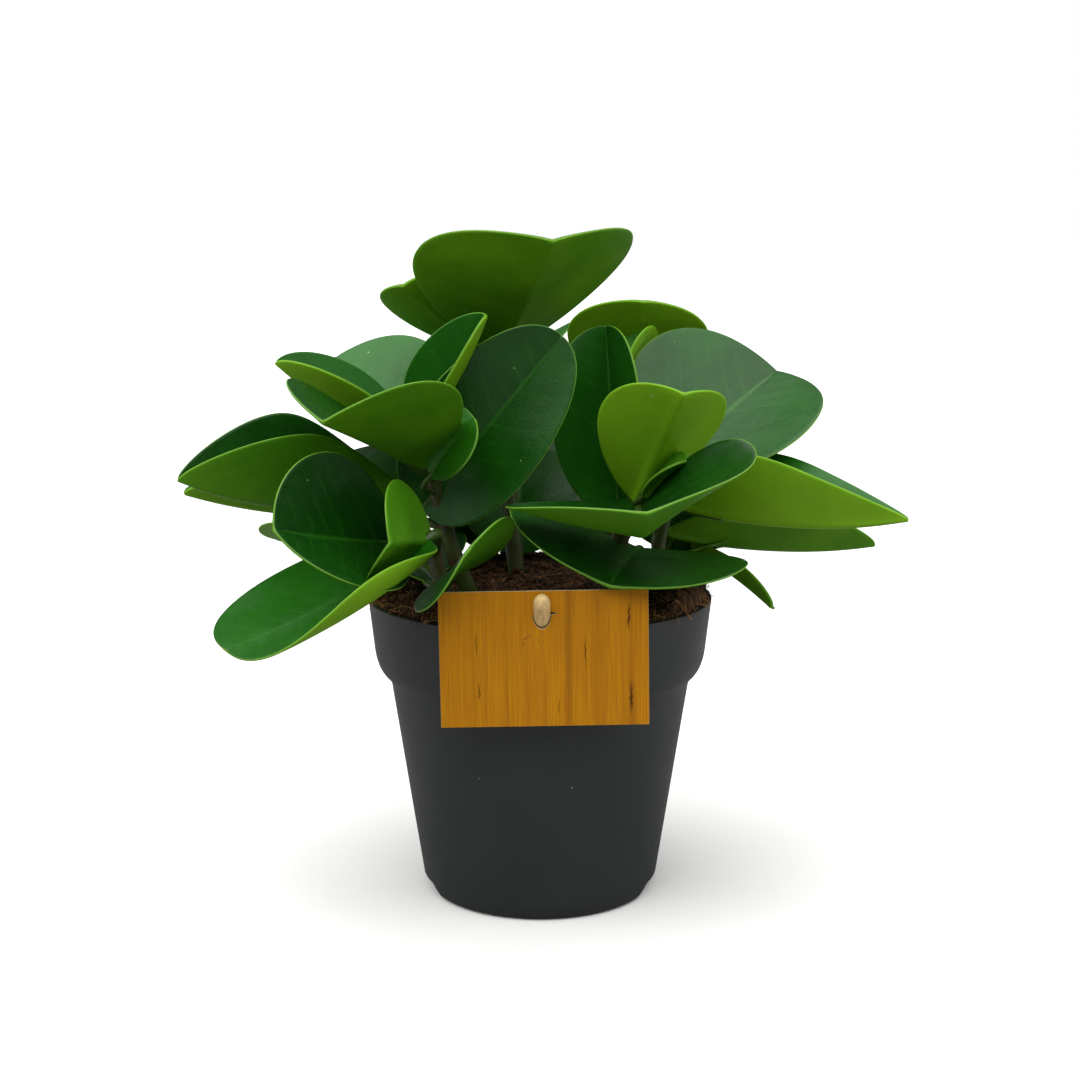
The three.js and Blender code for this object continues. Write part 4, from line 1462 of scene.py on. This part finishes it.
@dataclass(frozen=True)
class PottingSoil:
    """The soil: a heaped bed in the pot, loose crumbs and clods on it, and coir fibres."""

    pot: GrowersPot
    edge_z: float = 104.6
    crown: float = 3.5
    tilt: float = 1.9
    lump: float = 0.6
    gap: float = 0.3
    rough: tuple[float, float] = (0.95, 5.5)  # height and size of the clods
    fine: tuple[float, float] = (0.5, 1.7)  # depth and size of the pits
    rings: int = 70
    turn_steps: int = 220
    crumbs: int = 1900
    crumb_radii: tuple[float, float] = (0.35, 1.3)
    crumb_reach: float = 57.2  # the farthest that a crumb's middle lies from the pot's axis
    clods: int = 90
    clod_radii: tuple[float, float] = (1.4, 2.6)
    clod_reach: float = 55.5
    fibres: int = 900
    bed_fibres: tuple[float, float] = (0.0, 57.0)  # where the middles of the inner fibres lie
    rim_fibres: tuple[float, float] = (52.0, 58.5)  # and of those that lie over the rim
    fibre_lengths: tuple[float, float] = (4.0, 13.0)
    fibre_radii: tuple[float, float] = (0.09, 0.2)
    overhang: float = 61.6  # the farthest that a fibre reaches from the pot's axis
    seed: int = 11
    # Each bank's middle, its reach and its height, where the mix is heaped over the rim.
    banks: tuple[tuple[float, float, float, float], ...] = (
        (48.0, -27.0, 13.0, 5.4),
        (-43.0, -34.0, 12.0, 4.0),
        (54.0, 4.0, 12.0, 3.0),
        (-12.0, 47.0, 15.0, 5.5),
        (18.0, 47.0, 15.0, 5.5),
    )

    def heap(self, x: float, y: float) -> float:
        """The smooth soil's height over its edge, in millimetres."""
        reach = math.hypot(x, y) / self.pot.rim_radius
        lumps = math.sin(x / 5.3 + 1.3) * math.cos(y / 4.7) + math.sin((x + y) / 8.1)
        return self.crown * (1 - reach**2) + self.tilt * x / self.pot.rim_radius + self.lump * lumps

    def top(self, x: float, y: float) -> float:
        """The crumbled soil's height at a place, in millimetres."""
        place = Vector((x, y, 0))
        clods = self.rough[0] * noise.fractal(place / self.rough[1], 0.9, 2.1, 4)
        pits = self.fine[0] * abs(noise.noise(place / self.fine[1]))
        banked = sum(
            height * math.exp(-(((x - across) ** 2 + (y - deep) ** 2) / reach**2))
            for across, deep, reach, height in self.banks
        )
        return self.edge_z + self.heap(x, y) + banked + clods - pits

    def build_bed(self) -> bpy.types.Object:
        """Builds the soil that fills the pot.

        Returns:
            The bed.
        """
        pot = self.pot
        rim = pot.bore(self.edge_z) - self.gap
        profile = [
            (0.0, pot.floor_top + self.gap),
            (pot.base_radius - pot.wall - 1.9, pot.floor_top + self.gap),
            (pot.base_radius - pot.wall - 0.3, pot.base_z + 0.6),
            (pot.neck_radius - pot.wall - self.gap, pot.neck_z + 0.9),
            (pot.collar_radius - pot.wall - 3.8, pot.neck_z + 3.9),
            (pot.bore(pot.collar_foot) - self.gap, pot.collar_foot + 0.4),
        ]
        profile += [(rim * (1 - k / self.rings), self.edge_z) for k in range(self.rings)]
        profile.append((0.0, self.edge_z))
        bm = turned(profile, self.turn_steps)
        for vert in bm.verts:
            if abs(vert.co.z - self.edge_z * MM) > 0.01 * MM:
                continue
            x, y = vert.co.x / MM, vert.co.y / MM
            vert.co.z = self.top(x, y) * MM
            radius = vert.co.xy.length
            allowed = (pot.bore(min(vert.co.z / MM, pot.height)) - self.gap) * MM
            if radius > allowed:
                vert.co.xy *= allowed / radius
        return new_piece("soil_bed", bm)

    def spot(self, draw: random.Random, inner: float, outer: float) -> tuple[float, float]:
        """A random place between two radii, even over the area."""
        radius = math.sqrt(draw.uniform(inner**2, outer**2))
        angle = draw.uniform(0, FULL_TURN)
        return radius * math.cos(angle), radius * math.sin(angle)

    def add_lump(
        self, bm: bmesh.types.BMesh, draw: random.Random, size: float, fineness: int, rim: float
    ) -> None:
        """Adds one broken lump that lies on the soil.

        Args:
            bm: The bmesh that gets it.
            draw: The random draw.
            size: Its radius in millimetres.
            fineness: Its icosphere's subdivisions.
            rim: The largest distance of its middle from the pot's axis.
        """
        x, y = self.spot(draw, 0, rim)
        lump = bmesh.ops.create_icosphere(bm, subdivisions=fineness, radius=1)["verts"]
        stretch = Vector((draw.uniform(0.7, 1.4), draw.uniform(0.7, 1.2), draw.uniform(0.5, 0.9)))
        turn = Matrix.Rotation(draw.uniform(0, FULL_TURN), 3, "Z")
        turn @= Matrix.Rotation(draw.uniform(-0.7, 0.7), 3, "X")
        centre = Vector((x, y, self.top(x, y) + size * draw.uniform(0.0, 0.5)))
        shift = draw.uniform(0, 100)
        for vert in lump:
            bulge = 1 + 0.42 * noise.noise(vert.co * 1.7 + Vector((shift, 0, 0)))
            vert.co = (centre + turn @ (vert.co * stretch) * (size * bulge)) * MM

    def build_crumbs(self) -> bpy.types.Object:
        """Builds the loose crumbs and clods.

        Returns:
            The crumbs, as one piece.
        """
        draw = random.Random(self.seed)
        bm = bmesh.new()
        for _ in range(self.crumbs):
            self.add_lump(bm, draw, draw.uniform(*self.crumb_radii), 1, self.crumb_reach)
        for _ in range(self.clods):
            self.add_lump(bm, draw, draw.uniform(*self.clod_radii), 2, self.clod_reach)
        return new_piece("soil_crumbs", bm, smooth=False)

    def build_fibres(self) -> bpy.types.Object:
        """Builds the coir fibres, some of which hang over the rim.

        Returns:
            The fibres, as one piece.
        """
        draw = random.Random(self.seed + 1)
        bm = bmesh.new()
        for number in range(self.fibres):
            x, y = self.spot(draw, *(self.bed_fibres if number % 2 else self.rim_fibres))
            heading = draw.uniform(0, FULL_TURN)
            length = draw.uniform(*self.fibre_lengths)
            points = []
            for step in range(5):
                share = step / 4 - 0.5
                heading += draw.uniform(-0.9, 0.9)
                px = x + math.cos(heading) * length * share
                py = y + math.sin(heading) * length * share
                rise = draw.uniform(0.1, 1.3)
                reach = math.hypot(px, py)
                ground = self.top(px, py)
                if reach > 58:
                    ground = self.pot.height + 0.2 - 1.4 * max(reach - 60.5, 0)
                if reach > self.overhang:
                    px, py = px * self.overhang / reach, py * self.overhang / reach
                points.append(Vector((px, py, ground + rise)))
            radius = draw.uniform(*self.fibre_radii)
            grow_limb(bm, GrowthLine(points), lambda share, r=radius: r * (1.1 - share * 0.6), 3, 6)
        bmesh.ops.recalc_face_normals(bm, faces=bm.faces)
        return new_piece("coir_fibres", bm)

    def dress(self) -> None:
        """Builds, finishes and fits the soil's pieces."""
        peat, coir = MoistPeat().material(), CoirFibre().material()
        for piece, material in (
            (self.build_bed(), peat), (self.build_crumbs(), peat), (self.build_fibres(), coir),
        ):
            piece.data.materials.append(material)
            fit_piece(piece, "soil", "soil")


# ---------------------------------------------------------------- the label


@dataclass(frozen=True)
class LabelStick:
    """The round wooden stick, egg-rounded at its upper end."""

    radius: float = 2.7
    length: float = 80.0
    tip: tuple[float, float, float] = (0.6, -67.5, 118.0)
    slope: float = 45.0
    tip_length: float = 4.2
    tip_steps: int = 10

    def rod(self, clearance: float, steps: int) -> bmesh.types.BMesh:
        """The stick's shape, grown by a clearance.

        Args:
            clearance: What is added all round, in millimetres.
            steps: The number of steps in the full turn.

        Returns:
            The rod, where the stick stands.
        """
        radius = self.radius + clearance
        profile = [(0.0, -self.length), (radius, -self.length)]
        for step in range(self.tip_steps + 1):
            angle = step / self.tip_steps * math.pi / 2
            across = 0.0 if step == self.tip_steps else radius * math.cos(angle)
            height = (self.tip_length + clearance) * math.sin(angle) - self.tip_length
            profile.append((across, height))
        bm = turned(profile, steps)
        place = Matrix.Translation(Vector(self.tip) * MM)
        place @= Matrix.Rotation(math.radians(self.slope), 4, "X")
        bmesh.ops.transform(bm, matrix=place, verts=bm.verts)
        return bm

    def dress(self) -> None:
        """Builds, finishes and fits the stick."""
        stick = new_piece("wooden_stick", self.rod(0.0, 40))
        smooth_below(stick, 40)
        stick.data.materials.append(TurnedSoftwood().material(self.slope))
        fit_piece(stick, "stick", "label_stick")


@dataclass(frozen=True)
class LabelCard:
    """The card: a thin board with a punched hole that the stick passes through."""

    stick: LabelStick
    width: float = 66.6
    height: float = 44.2
    thickness: float = 0.8
    middle: tuple[float, float] = (1.3, 96.5)
    back_y: float = -60.4
    roll: float = 1.0
    clearance: float = 0.15
    hole_drop: float = 0.7  # how far the hole sags below the stick
    slit_reach: float = 1.9
    slit_height: float = 1.0
    slit_tip: float = 0.3
    edge_rounding: float = 0.12
    cutter_depth: float = 6.0

    @property
    def centre(self) -> Vector:
        """The middle of the card, in metres."""
        return Vector((self.middle[0], self.back_y - self.thickness / 2, self.middle[1])) * MM

    @property
    def crossing(self) -> Vector:
        """Where the stick's axis crosses the middle of the card, in millimetres."""
        tip_x, tip_y, tip_z = self.stick.tip
        y = self.centre.y / MM
        return Vector((tip_x, y, tip_z - (y - tip_y) * math.tan(math.radians(self.stick.slope))))

    def hole(self) -> bmesh.types.BMesh:
        """The rod that punches the oval hole."""
        bm = bmesh.new()
        bmesh.ops.create_cone(bm, cap_ends=True, segments=40, radius1=1, radius2=1, depth=1)
        across = self.stick.radius + self.clearance
        upright = across / math.cos(math.radians(self.stick.slope)) + self.thickness / 2
        size = Matrix.Diagonal(Vector((across, upright, self.cutter_depth)) * MM).to_4x4()
        place = Matrix.Translation((self.crossing - Vector((0, 0, self.hole_drop))) * MM)
        place @= Matrix.Rotation(math.pi / 2, 4, "X") @ size
        bmesh.ops.transform(bm, matrix=place, verts=bm.verts)
        return bm

    def slit(self, side: int) -> bmesh.types.BMesh:
        """A thin wedge that cuts one slit beside the hole.

        Args:
            side: -1 for the left slit and 1 for the right one.

        Returns:
            The wedge.
        """
        bm = bmesh.new()
        edge = self.stick.radius + self.clearance
        bmesh.ops.create_cube(bm, size=1)
        for vert in bm.verts:
            outer = vert.co.x > 0
            x = side * (edge + self.slit_reach if outer else edge - 0.6)
            z = vert.co.z * (self.slit_tip if outer else self.slit_height)
            vert.co = (self.crossing + Vector((x, vert.co.y * self.cutter_depth, z))) * MM
        bmesh.ops.recalc_face_normals(bm, faces=bm.faces)
        return bm

    def build(self) -> bpy.types.Object:
        """Builds the card.

        Returns:
            The card.
        """
        bm = bmesh.new()
        bmesh.ops.create_cube(bm, size=1)
        place = Matrix.Translation(self.centre)
        place @= Matrix.Rotation(math.radians(-self.roll), 4, "Y")
        size = Matrix.Diagonal(Vector((self.width, self.thickness, self.height)) * MM).to_4x4()
        bmesh.ops.transform(bm, matrix=place @ size, verts=bm.verts)
        card = new_piece("label_board", bm, smooth=False)
        cut_away(card, [self.hole(), self.slit(-1), self.slit(1)])
        bm = bmesh.new()
        bm.from_mesh(card.data)
        sharp = [e for e in bm.edges if e.is_manifold and e.calc_face_angle(0) > math.radians(60)]
        bmesh.ops.bevel(
            bm, geom=sharp, offset=self.edge_rounding * MM, segments=2, profile=0.5, affect="EDGES",
            material=-1, clamp_overlap=True,
        )
        bm.to_mesh(card.data)
        bm.free()
        return card

    def dress(self) -> None:
        """Builds, finishes and fits the card: printed on its front and plain elsewhere."""
        card = self.build()
        card.data.materials.clear()
        card.data.materials.append(CutCardboard().material())
        card.data.materials.append(WoodGrainPrint().material(self.centre, self.roll))
        for face in card.data.polygons:
            face.material_index = 1 if face.normal.y < -0.9 else 0
        fit_piece(card, "card", "label_card")


# ---------------------------------------------------------------- the studio


@dataclass(frozen=True)
class SoftLight:
    """A square soft box: its name, its place, its side and its power; the studio aims it at its
    target.
    """

    name: str
    place: tuple[float, float, float]
    side: float
    power: float


@dataclass(frozen=True)
class Studio:
    """A plain white table under soft light, seen from the front and a little above."""

    floor_side: float = 40.0
    floor_white: str = "#f6f6f4"
    floor_bounce: str = "#8c8c8a"
    backdrop: float = 1.0
    ambient: float = 0.1
    sky_from: tuple[float, float, float] = (-0.12, -0.3, 1.0)
    sky_spread: float = 100.0
    sky_power: float = 5.0
    target: tuple[float, float, float] = (0.0, 0.0, 0.12)
    lights: tuple[SoftLight, ...] = (
        SoftLight("left_box", (-1.1, -0.2, 0.5), 0.8, 2.2),
        SoftLight("right_box", (1.1, -0.3, 0.4), 0.8, 3.0),
    )
    camera_place: tuple[float, float, float] = (0.0, -0.612, 0.232)
    camera_pitch: float = 10.0
    focal_pixels: float = 1781.0
    frame_pixels: float = 1080.0
    sensor: float = 36.0

    def build_floor(self) -> None:
        """Lays the table top: white to the camera, and duller in the light that it throws back."""
        bm = bmesh.new()
        bmesh.ops.create_grid(bm, x_segments=1, y_segments=1, size=self.floor_side / 2)
        floor = new_piece("table_top", bm)
        material, tree = new_material("white_laminate")
        seen = add_node(tree, "ShaderNodeLightPath").outputs["Is Camera Ray"]
        colour = add_node(tree, "ShaderNodeMix", {"data_type": "RGBA"}, {
            0: seen, 6: linear(self.floor_bounce), 7: linear(self.floor_white),
        }).outputs[2]
        finish_material(tree, {"Base Color": colour, "Roughness": 0.8})
        floor.data.materials.append(material)

    def build_lights(self) -> None:
        """Hangs the lights and sets the white surroundings."""
        data = bpy.data.lights.new("overhead_diffuser", "SUN")
        data.energy = self.sky_power
        data.angle = math.radians(self.sky_spread)
        sky = bpy.data.objects.new("overhead_diffuser", data)
        sky.rotation_euler = Vector(self.sky_from).to_track_quat("Z", "Y").to_euler()
        bpy.context.scene.collection.objects.link(sky)
        for light in self.lights:
            data = bpy.data.lights.new(light.name, "AREA")
            data.shape = "SQUARE"
            data.size = light.side
            data.energy = light.power
            box = bpy.data.objects.new(light.name, data)
            box.location = light.place
            aim = Vector(self.target) - Vector(light.place)
            box.rotation_euler = aim.to_track_quat("-Z", "Y").to_euler()
            bpy.context.scene.collection.objects.link(box)
        world = bpy.data.worlds.new("white_room")
        world.use_nodes = True
        tree = world.node_tree
        tree.nodes.clear()
        seen = add_node(tree, "ShaderNodeLightPath").outputs["Is Camera Ray"]
        strength = add_node(tree, "ShaderNodeMix", {"data_type": "FLOAT"}, {
            0: seen, 2: self.ambient, 3: self.backdrop,
        }).outputs[0]
        room = add_node(
            tree, "ShaderNodeBackground", {}, {"Color": (1.0, 1.0, 1.0, 1.0), "Strength": strength}
        )
        add_node(tree, "ShaderNodeOutputWorld", {}, {"Surface": room.outputs["Background"]})
        bpy.context.scene.world = world
        bpy.context.scene.view_settings.view_transform = "Standard"

    def build_camera(self) -> None:
        """Sets the camera where the photograph was taken from."""
        data = bpy.data.cameras.new("front_camera")
        data.sensor_width = self.sensor
        data.lens = self.focal_pixels / self.frame_pixels * self.sensor
        camera = bpy.data.objects.new("front_camera", data)
        camera.location = self.camera_place
        camera.rotation_euler = (math.radians(90 - self.camera_pitch), 0.0, 0.0)
        bpy.context.scene.collection.objects.link(camera)
        bpy.context.scene.camera = camera

    def build(self) -> None:
        """Sets up the camera, the floor and the lights."""
        self.build_camera()
        self.build_floor()
        self.build_lights()


def main() -> None:
    """Builds the studio and every piece of the plant, its pot and its label."""
    logging.basicConfig(level=logging.INFO, format="%(name)s: %(message)s")
    Studio().build()
    pot = GrowersPot()
    pot.dress()
    PottingSoil(pot).dress()
    stick = LabelStick()
    stick.dress()
    LabelCard(stick).dress()
    skin, stem_skin = WaxyLeafSkin().material(), FleshyStemSkin().material()
    for stem in LEAFY_STEMS:
        stem.dress(skin, stem_skin)


if __name__ == "__main__":
    main()
